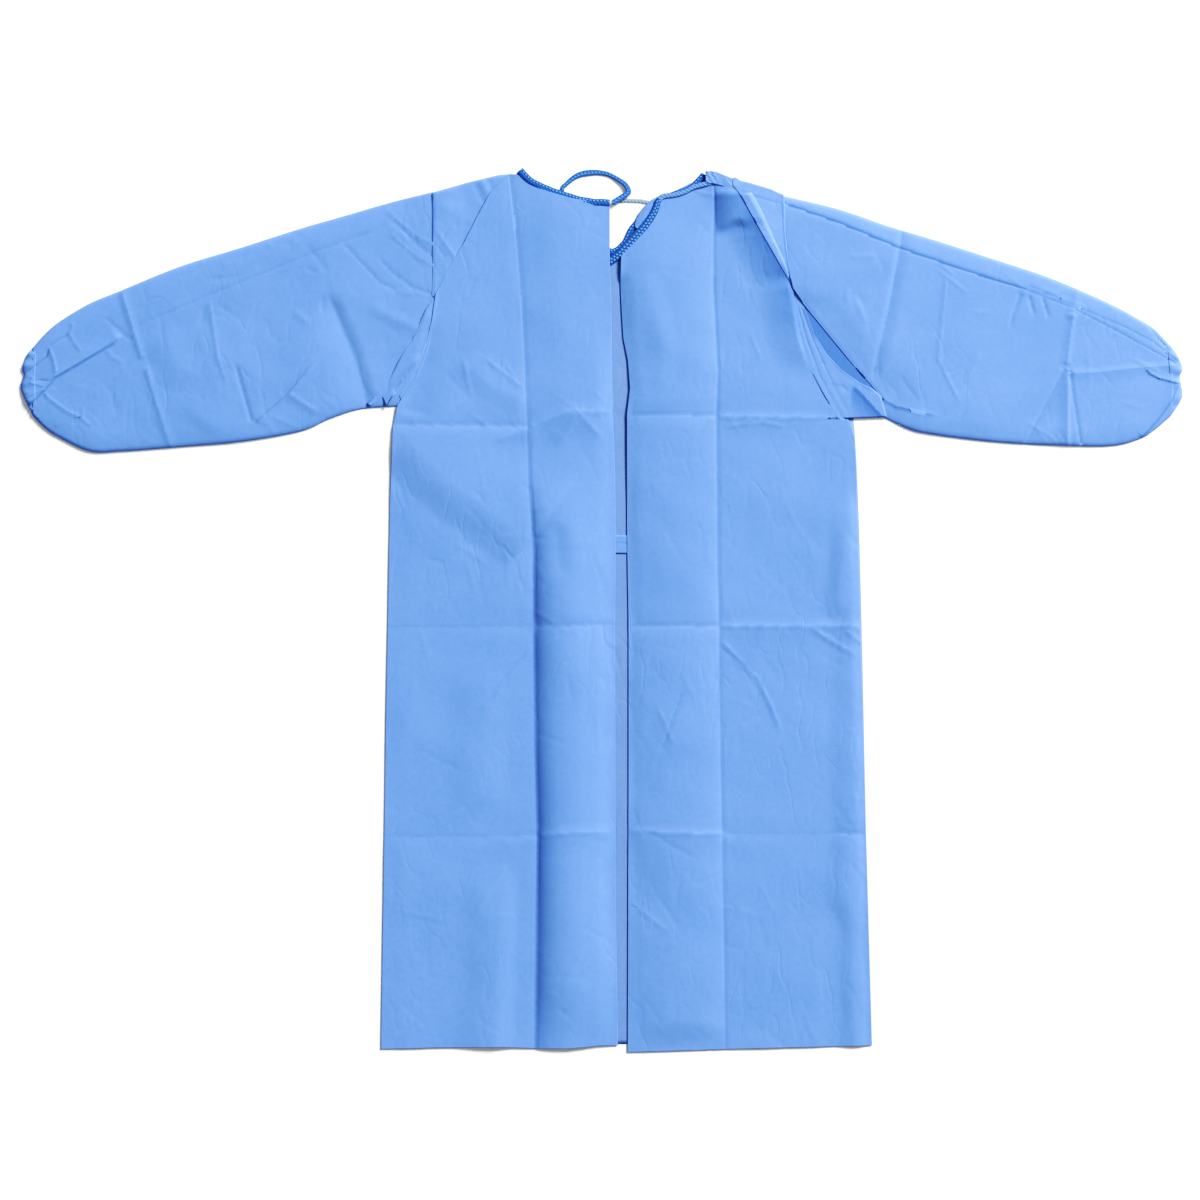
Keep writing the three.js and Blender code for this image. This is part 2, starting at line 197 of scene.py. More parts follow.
def cloth_finish(name, colour, grain=1.0, roughness=0.72, crumple=1.0, seam_and_shade_marks=False):
    """Embossed non-woven: clouds of fibre, fine grain, rows of bonding dots and a papery crumple.
    With seam and shade marks it is darker where its marks say: at seams, and in painted shade
    along hard folds, in recesses and beside raised cloth."""
    finish = bpy.data.materials.new(name)
    finish.use_nodes = True
    tree = finish.node_tree
    tree.nodes.clear()
    pen = Tone(tree)
    spot = pen.node("ShaderNodeTexCoord", out=3)

    def noise(scale, detail, vector=spot, distortion=0.0):
        return pen.node(
            "ShaderNodeTexNoise", None,
            {
                "Vector": vector, "Scale": scale, "Detail": detail,
                "Roughness": 0.6, "Distortion": distortion,
            },
        )

    slanted = pen.node(
        "ShaderNodeMapping", None, {"Vector": spot, "Rotation": (0, 0, 0.9), "Scale": (1.0, 0.5, 1.0)}
    )
    cloud, mottle, grains = noise(CLOUDS, 4.0), noise(MOTTLES, 3.0), noise(GRAINS, 2.0)
    fibre = noise(FIBRES, 2.0, slanted)
    dots = pen.node(
        "ShaderNodeTexVoronoi", None, {"Vector": spot, "Scale": BOND_DOTS, "Randomness": 0.35}
    )
    deep = tuple(c * k for c, k in zip(colour, (0.84, 0.89, 0.93))) + (1,)
    pale = tuple(min(1, c * k) for c, k in zip(colour, (1.16, 1.11, 1.06))) + (1,)
    shade = 0.5 + 0.6 * (cloud - 0.5) + 0.6 * (mottle - 0.5)
    shade = shade + 0.45 * (grains - 0.5) + 0.2 * grain * (fibre - 0.5)
    skin = pen.mix(shade, deep, pale)
    if seam_and_shade_marks:
        marks = pen.node("ShaderNodeTexCoord", out=2)
        depth = pen.node("ShaderNodeSeparateXYZ", None, {"Vector": marks})
        # The seams' darker colour, which also serves as the painted shade.
        dark = tuple(c * k for c, k in zip(colour, (0.30, 0.42, 0.60))) + (1,)
        skin = pen.mix(pen.sum("MINIMUM", depth, 1.0), skin, dark)

    def wrinkles(scale, shallow, vector, mask_scale):
        """Thin creases, like paper's, that come and go."""
        fold = pen.sum("ABSOLUTE", noise(scale, 1.5, vector, 0.25) - 0.5)
        mask = pen.sum("MAXIMUM", noise(mask_scale, 1.0) - 0.45, 0.0) * 5.0
        return pen.sum("MINIMUM", fold, shallow) * pen.sum("MINIMUM", mask, 1.0)

    crossed = pen.node(
        "ShaderNodeMapping", None, {"Vector": spot, "Rotation": (0, 0, -1.1), "Scale": (1.0, 0.5, 1.0)}
    )
    papery = wrinkles(26.0, 0.05, slanted, 5.0) + wrinkles(22.0, 0.05, crossed, 7.0)
    papery = papery + 0.16 * noise(14.0, 3.0)
    crumpled = pen.node(
        "ShaderNodeBump", None, {"Strength": 1.0, "Distance": CREASE_DEPTH * crumple, "Height": papery}
    )
    bump = pen.node(
        "ShaderNodeBump",
        None,
        {
            "Strength": 0.25 * grain, "Distance": GRAIN_DEPTH,
            "Height": 0.5 * fibre + 0.5 * dots, "Normal": crumpled,
        },
    )
    surface = pen.node(
        "ShaderNodeBsdfPrincipled",
        None,
        {
            "Base Color": skin,
            "Roughness": roughness + 0.08 * (mottle - 0.5),
            "Specular IOR Level": 0.22,
            "Sheen Weight": 0.06,
            "Sheen Roughness": 0.5,
            "Normal": bump,
        },
    )
    pen.node("ShaderNodeOutputMaterial", None, {"Surface": surface})
    return finish


def curved(points, steps=10):
    """A smooth run through the points."""
    p = np.array(points, float)
    p = np.vstack([2 * p[0] - p[1], p, 2 * p[-1] - p[-2]])
    t = np.linspace(0, 1, steps, endpoint=False)[:, None]
    legs = [
        0.5 * (2 * b + (c - a) * t + (2 * a - 5 * b + 4 * c - d) * t**2 + (3 * b - a - 3 * c + d) * t**3)
        for a, b, c, d in zip(p, p[1:], p[2:], p[3:])
    ]
    return np.vstack([*legs, p[-2:-1]])


def along(points, shares):
    """Points at these shares of a run's length."""
    p = np.array(points, float)
    walked = np.concatenate([[0], np.cumsum(np.hypot(*np.diff(p[:, :2], axis=0).T))])
    walked = walked / max(walked[-1], 1e-9)
    return np.stack([np.interp(shares, walked, p[:, k]) for k in range(p.shape[1])], axis=1)


def evenly(size, pitch, fine_start=0, fine_end=0):
    """Shares of a length at about this pitch, with a few closer ones at either end."""
    shares = list(np.linspace(0, 1, max(2, round(size / pitch) + 1)))
    close = [0.7, 1.6] if pitch > 2.1 else [0.6]
    shares += [d / size for d in close if fine_start] + [1 - d / size for d in close if fine_end]
    return np.array(sorted(shares))


def patch(top, bottom, left, right, across, down):
    """Points of a piece between four edges, in rows from top to bottom."""
    t, b = along(top, across)[None], along(bottom, across)[None]
    l, r = along(left, down)[:, None], along(right, down)[:, None]
    u, v = np.array(across)[None, :, None], np.array(down)[:, None, None]
    upper = (1 - u) * (1 - v) * t[0, 0] + u * (1 - v) * t[0, -1]
    corners = upper + (1 - u) * v * b[0, 0] + u * v * b[0, -1]
    return (1 - v) * t + v * b + (1 - u) * l + u * r - corners


def nearest(xy, route):
    """How far each point is from a route, + to the left of its run, how far along, and the foot."""
    route = np.array(route, float)
    best = np.full(len(xy), 1e9)
    side, run, foot = np.ones(len(xy)), np.zeros(len(xy)), np.zeros_like(xy)
    walked = 0.0
    for a, b in zip(route, route[1:]):
        leg = b - a
        size = float(np.hypot(*leg))
        share = np.clip(((xy - a) @ leg) / size**2, 0, 1)
        near = a + share[:, None] * leg
        far = np.hypot(*(xy - near).T)
        closer = far < best
        best = np.where(closer, far, best)
        turned = np.sign(leg[0] * (xy[:, 1] - a[1]) - leg[1] * (xy[:, 0] - a[0]))
        side = np.where(closer, np.where(turned == 0, 1, turned), side)
        run = np.where(closer, walked + share * size, run)
        foot = np.where(closer[:, None], near, foot)
        walked += size
    return best, side, run, foot, walked


def ease(t):
    t = np.clip(t, 0, 1)
    return t * t * (3 - 2 * t)


def faded(run, whole, fade_in, fade_out):
    """How much of a crease there is at a place on its run, from its two ends."""
    start = ease(run / fade_in) if fade_in else 1
    end = ease((whole - run) / fade_out) if fade_out else 1
    return start, end


def creased(xy, creases):
    """Height that a table of creases adds. Each row: its route, how far it stands up (- is down),
    its reach to the left and to the right of the run, how sharp it is, and where it fades in and out."""
    high = np.zeros(len(xy))
    for route, up, left, right, sharp, fade_in, fade_out in creases:
        far, side, run, foot, whole = nearest(xy, route)
        t = np.clip(far / np.where(side > 0, left, right), 0, 1)
        shape = sharp * (1 - t) ** 2 + (1 - sharp) * (1 - t * t) ** 2
        start, end = faded(run, whole, fade_in, fade_out)
        high += up * shape * start * end
    return high


def waves(xy, seed, high, longest=220.0, count=26):
    """A gentle seeded unevenness of the cloth, up to about this high."""
    dice = np.random.default_rng(seed)
    total = np.zeros(len(xy))
    for _ in range(count):
        size = longest * dice.uniform(0.22, 1.0)
        angle, phase = dice.uniform(0, 2 * math.pi), dice.uniform(0, 2 * math.pi)
        k = 2 * math.pi / size
        way = xy[:, 0] * math.cos(angle) + xy[:, 1] * math.sin(angle)
        total += size / longest * np.sin(k * way + phase)
    return high * total / math.sqrt(count)


def cloth(name, sheets, finish, wall=CLOTH_MM, marks=None):
    """One piece from rows of points (x, y, z) in millimetres, joined where they meet. The marks
    are two numbers for each point that its finish reads: how dark its seams and painted shade
    make it, or its place on a tape."""
    points, faces = [], []
    for rows in sheets:
        first = len(points)
        down, across = rows.shape[:2]
        points += [tuple(p) for p in rows.reshape(-1, 3)]
        for j in range(down - 1):
            for i in range(across - 1):
                a = first + j * across + i
                faces.append((a, a + across, a + across + 1, a + 1))
    mesh = bpy.data.meshes.new(name)
    mesh.from_pydata(
        [((x + NECK_X) / 1000, (y + NECK_Y) / 1000, z / 1000) for x, y, z in points], [], faces
    )
    made = bpy.data.objects.new(name, mesh)
    bpy.context.scene.collection.objects.link(made)
    if marks is not None:
        layer = mesh.uv_layers.new(name="marks")
        for loop in mesh.loops:
            layer.data[loop.index].uv = marks[loop.vertex_index]
    joined = bmesh.new()
    joined.from_mesh(mesh)
    bmesh.ops.remove_doubles(joined, verts=joined.verts, dist=0.00003)
    bmesh.ops.dissolve_degenerate(joined, edges=joined.edges, dist=0.00001)
    joined.to_mesh(mesh)
    joined.free()
    mesh.shade_smooth()
    mesh.materials.append(finish)
    if wall:
        thick = made.modifiers.new("wall", "SOLIDIFY")
        thick.thickness = wall / 1000
        thick.offset = -1
    return made


def lifted(rows, heights):
    """Rows of points on the flat with their heights added."""
    return np.dstack([rows, heights.reshape(rows.shape[:2])])


def stand_for(piece, node):
    """The gown has one body, so every piece rides on it, in the place of its own solid."""
    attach(piece, "root")
    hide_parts(node)


def front_height(xy):
    folds = [
        ([(-320, -342), (-50, -330), (330, -330)], -0.5, 14, 14, 1.0, 0, 0),
        ([(-320, -613), (330, -613)], -0.5, 14, 14, 1.0, 0, 0),
        ([(-320, -895), (330, -893)], 0.5, 14, 14, 1.0, 0, 0),
        ([(14, -717), (16, -717)], 0.2, 4, 4, 1.0, 0, 0),
    ]
    return 0.65 + np.clip(creased(xy, folds) + waves(xy, 3, 0.06), -0.25, 0.2)


inner_cloth = cloth_finish("inner_cloth", INNER_BLUE, 0.8, 0.8)
front_down = evenly(1177, FRONT_PITCH)
front_sheets = []
for left, right, top, columns in (
    (FRONT_LEFT, FRONT_MIDDLE_LEFT, [(-236, -28), (-135, -4)], 30),
    (FRONT_MIDDLE_LEFT, FRONT_MIDDLE_RIGHT, curved(FRONT_NECK), 34),
    (FRONT_MIDDLE_RIGHT, FRONT_RIGHT, [(128, -4), (231, -30)], 30),
):
    bottom = [left[-1], right[-1]]
    flat = patch(top, bottom, curved(left), curved(right), np.linspace(0, 1, columns), front_down)
    front_sheets.append(lifted(flat, front_height(flat.reshape(-1, 2))))
front = cloth("front_cloth", front_sheets, inner_cloth)
stand_for(front, "front_panel")


# ---- Waist tie ------------------------------------------------------------------------------
# A short strip of the same cloth inside the gown, sewn to the left panel's edge at the waist. Only
# a small square of it shows in the slit.

BLUE = (0.147, 0.265, 0.650)
WAIST_LEFT, WAIST_RIGHT, WAIST_TOP, WAIST_BOTTOM, WAIST_HIGH = -22, 50, -490, -514.5, 1.4
blue_cloth = cloth_finish("blue_cloth", BLUE, seam_and_shade_marks=True)
flat = patch(
    [(WAIST_LEFT, WAIST_TOP), (WAIST_RIGHT, WAIST_TOP - 1)],
    [(WAIST_LEFT, WAIST_BOTTOM), (WAIST_RIGHT, WAIST_BOTTOM - 1)],
    [(WAIST_LEFT, WAIST_TOP), (WAIST_LEFT, WAIST_BOTTOM)],
    [(WAIST_RIGHT, WAIST_TOP - 1), (WAIST_RIGHT, WAIST_BOTTOM - 1)],
    np.linspace(0, 1, 40),
    np.linspace(0, 1, 14),
)
xy = flat.reshape(-1, 2)
waist_high = WAIST_HIGH + 0.15 * np.sin(xy[:, 0] / 7) + creased(
    xy, [([(-30, -501), (60, -503)], -0.35, 3, 3, 1.0, 0, 0)]
)
waist = cloth("waist_tie_cloth", [lifted(flat, waist_high)], blue_cloth)
stand_for(waist, "waist_tie")


# ---- Left back ------------------------------------------------------------------------------
# The left back panel, laid over the front, of the same blue cloth. Its packing folds cross it, and
# at the armhole its edge is folded under in a pleat that runs down to the underarm.

PANEL_PITCH = 3.15
LEFT_NECKLINE = [(-139, -3), (-124, -4), (-108, -17), (-86, -27), (-55, -36), (-3, -44)]
LEFT_OUTER = [
    (-139, -3), (-163, -26), (-181, -59), (-200, -96), (-219, -128), (-238, -165), (-243, -200),
    (-254, -244), (-268, -281), (-290, -316), (-296, -345), (-300, -456), (-305, -726),
    (-312, -1184),
]
LEFT_PACK_FOLD = [
    (-139, -3), (-134, -43), (-127, -103), (-122, -159), (-117, -254), (-113, -346), (-111, -425),
    (-105, -509), (-105, -613), (-103, -780), (-100, -894), (-103, -1183),
]
LEFT_CENTRE = [
    (-3, -44), (-3, -122), (-1, -173), (1, -327), (4, -401), (5, -494), (4, -613), (5, -979),
    (8, -1179),
]
LEFT_HEM_OUTER = [(-312, -1184), (-240, -1182), (-150, -1181), (-103, -1183)]
LEFT_HEM_INNER = [(-103, -1183), (-57, -1183), (-16, -1179), (8, -1179)]


def swell(xy, route, profile, fade_in, fade_out):
    """Height by how far a point is to the left of a route's run, from a short table of both."""
    far, side, run, foot, whole = nearest(xy, route)
    table = curved(profile)
    high = np.interp(np.where(side > 0, far, 0), table[:, 0], table[:, 1])
    start, end = faded(run, whole, fade_in, fade_out)
    return high * start * end


def packed(route, crisp, soft, left, right, fade_in=0, fade_out=0):
    """A packing fold: a crisp line, and the slack cloth beside it."""
    return [
        (route, 0.6 * crisp, 3.3, 3.3, 1.0, fade_in, fade_out),
        (route, soft, left, 1.5 * right, 0.8, fade_in, fade_out),
    ]


def drawn_to(xy, creases, reach):
    """Moves points that are nearly on a sharp crease on to it, each once, so that its line is clean."""
    free = np.ones(len(xy), bool)
    for route, up, left, right, sharp, fade_in, fade_out in creases:
        if sharp < 0.8:
            continue
        far, side, run, foot, whole = nearest(xy, route)
        inside = (far < reach) & (run > 0.5) & (run < whole - 0.5) & free
        xy = np.where(inside[:, None], foot, xy)
        free &= ~inside
    return xy


def small_creases(seed, count, box, sizes, high, wide):
    """Seeded short creases inside a box, for the cloth's faint crumpling."""
    dice = np.random.default_rng(seed)
    rows = []
    for _ in range(count):
        x, y = dice.uniform(box[0], box[1]), dice.uniform(box[2], box[3])
        size, angle = dice.uniform(*sizes), dice.normal(-0.9, 0.8)
        bend = dice.normal(0, 0.12)
        mid = (x + size / 2 * math.cos(angle), y + size / 2 * math.sin(angle))
        end = (mid[0] + size / 2 * math.cos(angle + bend), mid[1] + size / 2 * math.sin(angle + bend))
        up = dice.uniform(0.35, 1.0) * high * dice.choice((-1, 1))
        left, right = dice.uniform(*wide), dice.uniform(*wide)
        rows.append(([(x, y), mid, end], up, left, right, 0.75, size / 3, size / 3))
    return rows


def seam_and_shade_darkness(xy, creases, seams=(), width=1.6):
    """How much darker the cloth is coloured along its hard folds, as painted shade, and along the
    lines given (route, depth, fades): its seams, in their own darker colour, and more folds, as painted
    shade.
    """
    # Painted shade along each sharp crease, by how far it stands up or down.
    rows = [(row[0], 0.28 * min(1, abs(row[1])), row[5], row[6]) for row in creases if row[4] >= 0.9]
    deep = np.zeros(len(xy))
    for route, depth, fade_in, fade_out in [*rows, *seams]:
        far, side, run, foot, whole = nearest(xy, route)
        start, end = faded(run, whole, fade_in, fade_out)
        deep = np.maximum(deep, depth * np.clip(1 - far / width, 0, 1) * start * end)
    return deep


def marked(seam_and_shade_parts):
    """The seam darkness and painted shade of all of a piece's sheets as its marks."""
    deep = np.concatenate([np.ravel(each) for each in seam_and_shade_parts])
    return np.column_stack([deep, np.zeros(len(deep))])


# Each crease: route, up, reach left and right of its run, sharpness, fade in, fade out.
LEFT_CREASES = [
    *packed(LEFT_PACK_FOLD[:6], -0.8, -0.5, 16, 10),
    *packed(LEFT_PACK_FOLD[5:], -0.5, -0.5, 4, 10),
    *packed([(-300, -340), (-205, -341), (-113, -342)], -0.7, -1.0, 30, 10),
    *packed([(-113, -346), (-50, -323), (2, -327)], 0.7, 1.3, 18, 22),
    *packed([(-49, -321), (-11, -363)], 0.5, 0.9, 14, 24, 8, 20),
    *packed([(-49, -322), (-62, -352), (-80, -372)], 0.3, 0.8, 14, 18, 6, 20),
    *packed([(-162, -367), (-113, -348)], 0.5, 0.8, 14, 12, 20),
    *packed([(-304, -613), (-105, -612)], -0.7, -0.9, 34, 10),
    *packed([(-103, -613), (4, -610)], -0.6, -0.8, 16, 18),
    *packed([(-306, -896), (-100, -894)], -0.7, -0.9, 34, 10),
    *packed([(-99, -894), (6, -891)], 0.6, 1.0, 16, 22),
    ([(-290, -345), (-232, -410), (-151, -466), (-108, -500)], 4.2, 110, 52, 0.1, 40, 10),
    ([(-212, -250), (-160, -290), (-116, -312)], 1.2, 40, 26, 0.4, 25, 10),
    ([(-202, -247), (-189, -308)], 0.5, 6, 6, 0.8, 15, 20),
    ([(-180, -246), (-121, -292)], 0.5, 6, 6, 0.9, 15, 6),
    ([(-238, -165), (-243, -200), (-254, -244), (-268, -281), (-290, -313)], 0.8, 7, 2, 0.7, 0, 0),
    ([(-266, -190), (-262, -260), (-275, -330)], -1.2, 40, 20, 0.2, 30, 10),
    ([(-304, -420), (-309, -800), (-312, -1184)], -1.3, 34, 8, 0.6, 60, 0),
    ([(-150, -920), (-160, -1183)], 2.4, 30, 60, 0.1, 60, 0),
    ([(-180, -640), (-170, -880)], 1.3, 40, 60, 0.1, 60, 40),
    ([(-75, -470), (-66, -560)], -1.0, 20, 20, 0.2, 20, 30),
    ([(-108, -640), (-150, -690), (-164, -720)], 0.5, 5, 5, 0.9, 6, 20),
    ([(-140, -930), (-190, -1010)], 0.5, 6, 8, 0.8, 20, 20),
]

# The inner part of the left panel billows between the packing fold and the slit, lower down.
BILLOW_LINE = LEFT_PACK_FOLD[5:]
BILLOW = [
    (0, 0), (5, 2.3), (11, 4.4), (20, 6.4), (30, 7.7), (43, 8.3), (58, 7.5), (74, 5.4), (92, 2.7),
    (106, 1.0),
]
SLIT_HIGH = 1.7
UPPER_LINE = LEFT_PACK_FOLD[:7]
UPPER_SWELL = [(0, 0), (20, 0.5), (50, 1.4), (80, 1.3), (112, 0.6), (136, 0.2)]


def levelled(high):
    """A back panel can't sink into the front beneath it: its lowest places level off just over it."""
    return np.where(high < 2.2, 1.3 + 0.9 * np.exp((high - 2.2) / 0.9), high)


def left_height(xy):
    low = ease((xy[:, 1] + 700) / 500)
    base = 1.9 + 1.6 * low
    crumple = small_creases(11, 70, (-300, 0, -1170, -40), (25, 90), 0.4, (3.5, 7))
    high = base + creased(xy, LEFT_CREASES + crumple) + waves(xy, 21, 0.8)
    hem = 0.35 + 0.65 * ease((xy[:, 1] + 1183) / 90)
    high += hem * swell(xy, BILLOW_LINE, BILLOW, 200, 0) + swell(xy, UPPER_LINE, UPPER_SWELL, 60, 80)
    slit = nearest(xy, LEFT_CENTRE[1:])[0]
    high -= (high - SLIT_HIGH) * (1 - np.clip(slit / 26, 0, 1)) ** 2 * ease((-150 - xy[:, 1]) / 120)
    return levelled(high)


# Painted shade along the left packing fold.
LEFT_FOLD_SHADE = [(LEFT_PACK_FOLD, 0.22, 0, 0)]


def left_billow_painted_shade(xy):
    """Painted shade beside its packing fold, on the inner side where the slack billows up from it."""
    far, side, run, foot, whole = nearest(xy, LEFT_PACK_FOLD[5:])
    return 0.36 * (side > 0) * (1 - np.clip(far / 30, 0, 1)) * ease(run / 320)


left_down = evenly(1200, PANEL_PITCH, 1, 1)
left_sheets, left_seam_and_shade = [], []
for top, bottom, outer, inner, wide, fine_start, fine_end in (
    ([LEFT_OUTER[0], (-138.9, -3)], LEFT_HEM_OUTER, LEFT_OUTER, LEFT_PACK_FOLD, 209, 1, 0),
    (LEFT_NECKLINE, LEFT_HEM_INNER, LEFT_PACK_FOLD, LEFT_CENTRE, 118, 0, 1),
):
    across = evenly(wide, PANEL_PITCH, fine_start, fine_end)
    flat = patch(top, bottom, outer, inner, across, left_down)
    inside = flat[20:-1, 1:-1]
    inside[:] = drawn_to(inside.reshape(-1, 2), LEFT_CREASES, 1.62).reshape(inside.shape)
    xy = flat.reshape(-1, 2)
    left_sheets.append(lifted(flat, left_height(xy)))
    left_seam_and_shade.append(np.maximum(seam_and_shade_darkness(xy, LEFT_CREASES, LEFT_FOLD_SHADE), left_billow_painted_shade(xy)))

# The pleat at the armhole: the layer that shows between seam and fold, and the folded edge itself.
LEFT_SEAM = [(-243, -28), (-243, -46), (-243, -92), (-242.5, -139), (-243, -168)]
LEFT_SHOULDER = [(-243, -28), (-190, -13), (-152, -4), (-139, -3), (-122, -6)]
LEFT_INNER_TURN = [(-122, -6), (-126, -50), (-150, -96), (-186, -140), (-224, -186)]
LEFT_YOKE_CREASES = [
    ([(-238, -80), (-215, -112), (-208, -128)], 0.7, 7, 5, 1.0, 0, 12),
    ([(-238, -98), (-222, -120)], -0.6, 6, 6, 1.0, 0, 8),
    ([(-178, -11), (-161, -45)], 0.9, 6, 6, 1.0, 0, 6),
    ([(-186, -14), (-172, -44)], -0.8, 5, 5, 1.0, 0, 6),
    ([(-168, -9), (-152, -36)], -0.8, 5, 5, 1.0, 0, 6),
    ([(-235, -40), (-195, -70)], 0.4, 14, 14, 0.3, 10, 20),
]
LEFT_YOKE_SEAMS = [([(-240, -28), (-240, -92), (-240, -168)], 0.34, 0, 0)]


def left_yoke_height(xy):
    settled = ease((xy[:, 0] + 241) / 12)
    high = 3.4 + settled * (creased(xy, LEFT_YOKE_CREASES) + waves(xy, 8, 0.2, 60))
    high -= 1.4 * ease((xy[:, 0] + 226) / 30)
    top = np.clip(nearest(xy, LEFT_SHOULDER)[0] / 5, 0, 1)
    return 1.2 + (high - 1.2) * np.sqrt(1 - (1 - top) ** 2)


flat = patch(
    LEFT_SHOULDER, [LEFT_SEAM[-1], LEFT_INNER_TURN[-1]], LEFT_SEAM, LEFT_INNER_TURN,
    evenly(90, 2.5), evenly(160, 2.5),
)
xy = flat.reshape(-1, 2)
left_sheets.append(lifted(flat, left_yoke_height(xy)))
left_seam_and_shade.append(seam_and_shade_darkness(xy, LEFT_YOKE_CREASES, LEFT_YOKE_SEAMS))

# Below the seam the pleat opens in narrow tongues, gathered towards the underarm.
LEFT_TONGUE_OUT = [
    (-238, -165), (-251, -185), (-271, -227), (-281, -240), (-304, -285), (-321, -302), (-331, -313),
]
LEFT_TONGUE_IN = [(-236, -169), (-238, -200), (-249, -244), (-263, -281), (-284, -313)]
LEFT_TONGUE_END = [(-331, -313), (-327, -317), (-310, -304), (-304, -317), (-290, -293), (-284, -313)]
LEFT_TONGUE_CREASES = [
    ([(-255, -244), (-290, -290), (-305, -316)], 1.8, 4, 12, 1.0, 20, 0),
    ([(-262, -262), (-292, -296)], -1.6, 5, 5, 1.0, 14, 0),
    ([(-280, -282), (-296, -314)], -1.3, 4, 5, 1.0, 10, 0),
    ([(-300, -284), (-318, -312)], -0.8, 6, 6, 0.8, 10, 0),
]


def left_tongue_height(xy):
    edge = nearest(xy, LEFT_TONGUE_OUT)[0]
    under = nearest(xy, LEFT_TONGUE_IN)[0]
    high = 3.0 + 1.0 * ease((under - 4) / 12) + creased(xy, LEFT_TONGUE_CREASES)
    high += 0.9 * ease((xy[:, 1] + 225) / 30)
    return high - 0.8 * (1 - np.clip(edge / 4, 0, 1)) ** 2


flat = patch(
    [LEFT_TONGUE_OUT[0], LEFT_TONGUE_IN[0]], LEFT_TONGUE_END, LEFT_TONGUE_OUT, LEFT_TONGUE_IN,
    evenly(44, 1.8), evenly(176, 2.2),
)
xy = flat.reshape(-1, 2)
left_sheets.append(lifted(flat, left_tongue_height(xy)))
left_seam_and_shade.append(seam_and_shade_darkness(xy, LEFT_TONGUE_CREASES))
left_back = cloth("back_left_cloth", left_sheets, blue_cloth, marks=marked(left_seam_and_shade))
stand_for(left_back, "back_panel_left")


# ---- Right back -----------------------------------------------------------------------------
# The right back panel, of the same cloth. Its shoulder is folded over towards the middle and lies
# on it as a tongue, and its neck corner is cut away in a slope down to the slit.

RIGHT_NECKLINE = [(66, -36), (74, -33), (93, -28), (113, -22), (138, -12)]
RIGHT_CENTRE = [
    (66, -36), (60, -58), (48, -77), (32, -94), (12, -114), (11, -150), (13, -193), (15, -225),
    (21, -254), (24, -292), (20, -327), (20, -489), (22, -605), (22, -794), (21, -1188),
]
RIGHT_PACK_FOLD = [
    (138, -12), (138, -78), (138, -153), (144, -269), (142, -331), (143, -432), (144, -549),
    (146, -612), (148, -794), (150, -894), (155, -1184),
]
RIGHT_OUTER = [
    (172, -14), (192, -40), (218, -84), (238, -125), (246, -170), (251, -208), (259, -239),
    (270, -270), (286, -301), (306, -331), (319, -334), (327, -359), (329, -389), (336, -659),
    (344, -929), (351, -1179),
]
RIGHT_HEM_INNER = [(21, -1188), (90, -1186), (155, -1184)]
RIGHT_HEM_OUTER = [(155, -1184), (230, -1182), (351, -1179)]
RIGHT_DIAGONAL = [(163, -20), (171, -30), (185, -54), (205, -89), (224, -122), (240, -150)]
RIGHT_CREASES = [
    (RIGHT_PACK_FOLD, -0.6, 3.4, 3.4, 1.0, 0, 0),
    *packed([(20, -327), (139, -328)], -0.7, -1.0, 26, 14),
    *packed([(144, -331), (230, -332), (319, -333)], 0.6, 1.0, 10, 20, 0, 60),
    *packed([(22, -612), (144, -612)], -0.7, -0.9, 24, 12),
    *packed([(148, -614), (333, -614)], 0.7, 1.0, 12, 20),
    *packed([(22, -890), (148, -895)], 0.6, 1.0, 12, 22),
    *packed([(153, -892), (339, -892)], -0.7, -0.9, 24, 12),
    ([(146, -633), (197, -686), (213, -720), (232, -767)], 0.9, 6, 6, 0.9, 10, 40),
    ([(146, -640), (190, -676), (222, -712)], -0.5, 5, 5, 0.9, 10, 20),
    ([(266, -614), (294, -633), (333, -655)], 0.8, 5, 6, 0.9, 10, 20),
    ([(312, -618), (336, -636)], 0.7, 5, 5, 0.9, 6, 0),
    ([(60, -720), (86, -780)], 0.5, 5, 6, 0.9, 10, 20),
    ([(96, -700), (64, -790)], -0.5, 5, 6, 0.9, 10, 20),
    ([(24, -985), (80, -1030)], 0.5, 6, 6, 0.9, 6, 20),
    ([(316, -475), (300, -605)], 1.4, 22, 22, 0.3, 40, 30),
    ([(322, -420), (326, -700), (318, -1000), (322, -1181)], 1.9, 30, 34, 0.1, 60, 0),
    ([(300, -960), (306, -1179)], -1.6, 26, 30, 0.2, 60, 0),
    (RIGHT_DIAGONAL, 4.8, 20, 48, 0.7, 0, 30),
    ([(232, -140), (240, -170), (250, -225), (266, -275)], 3.0, 12, 44, 0.4, 20, 40),
    ([(111, -27), (139, -33), (163, -22)], 0.7, 5, 5, 1.0, 6, 6),
    ([(329, -389), (336, -659), (351, -1179)], -1.5, 8, 14, 0.6, 60, 0),
    ([(42, -130), (70, -240), (60, -300)], 1.0, 26, 30, 0.3, 30, 30),
    ([(150, -345), (200, -338), (240, -345)], 0.5, 5, 5, 0.8, 10, 20),
]

# Under the shoulder the cloth is drawn up towards the tongue from the packing fold, and west of
# that fold it lies a little higher and slopes down to it.
DRAWN_LINE = [(139, -26), (140, -88)]
DRAWN_UP = [(0, 0), (5, 1.5), (12, 3.0), (20, 3.8), (30, 3.6), (45, 2.0), (70, 0)]
INNER_LINE = RIGHT_PACK_FOLD[::-1]
INNER_SWELL = [(0, 0), (8, 1.3), (18, 2.4), (32, 3.3), (50, 3.7), (74, 3.4), (98, 2.2), (120, 0.6)]


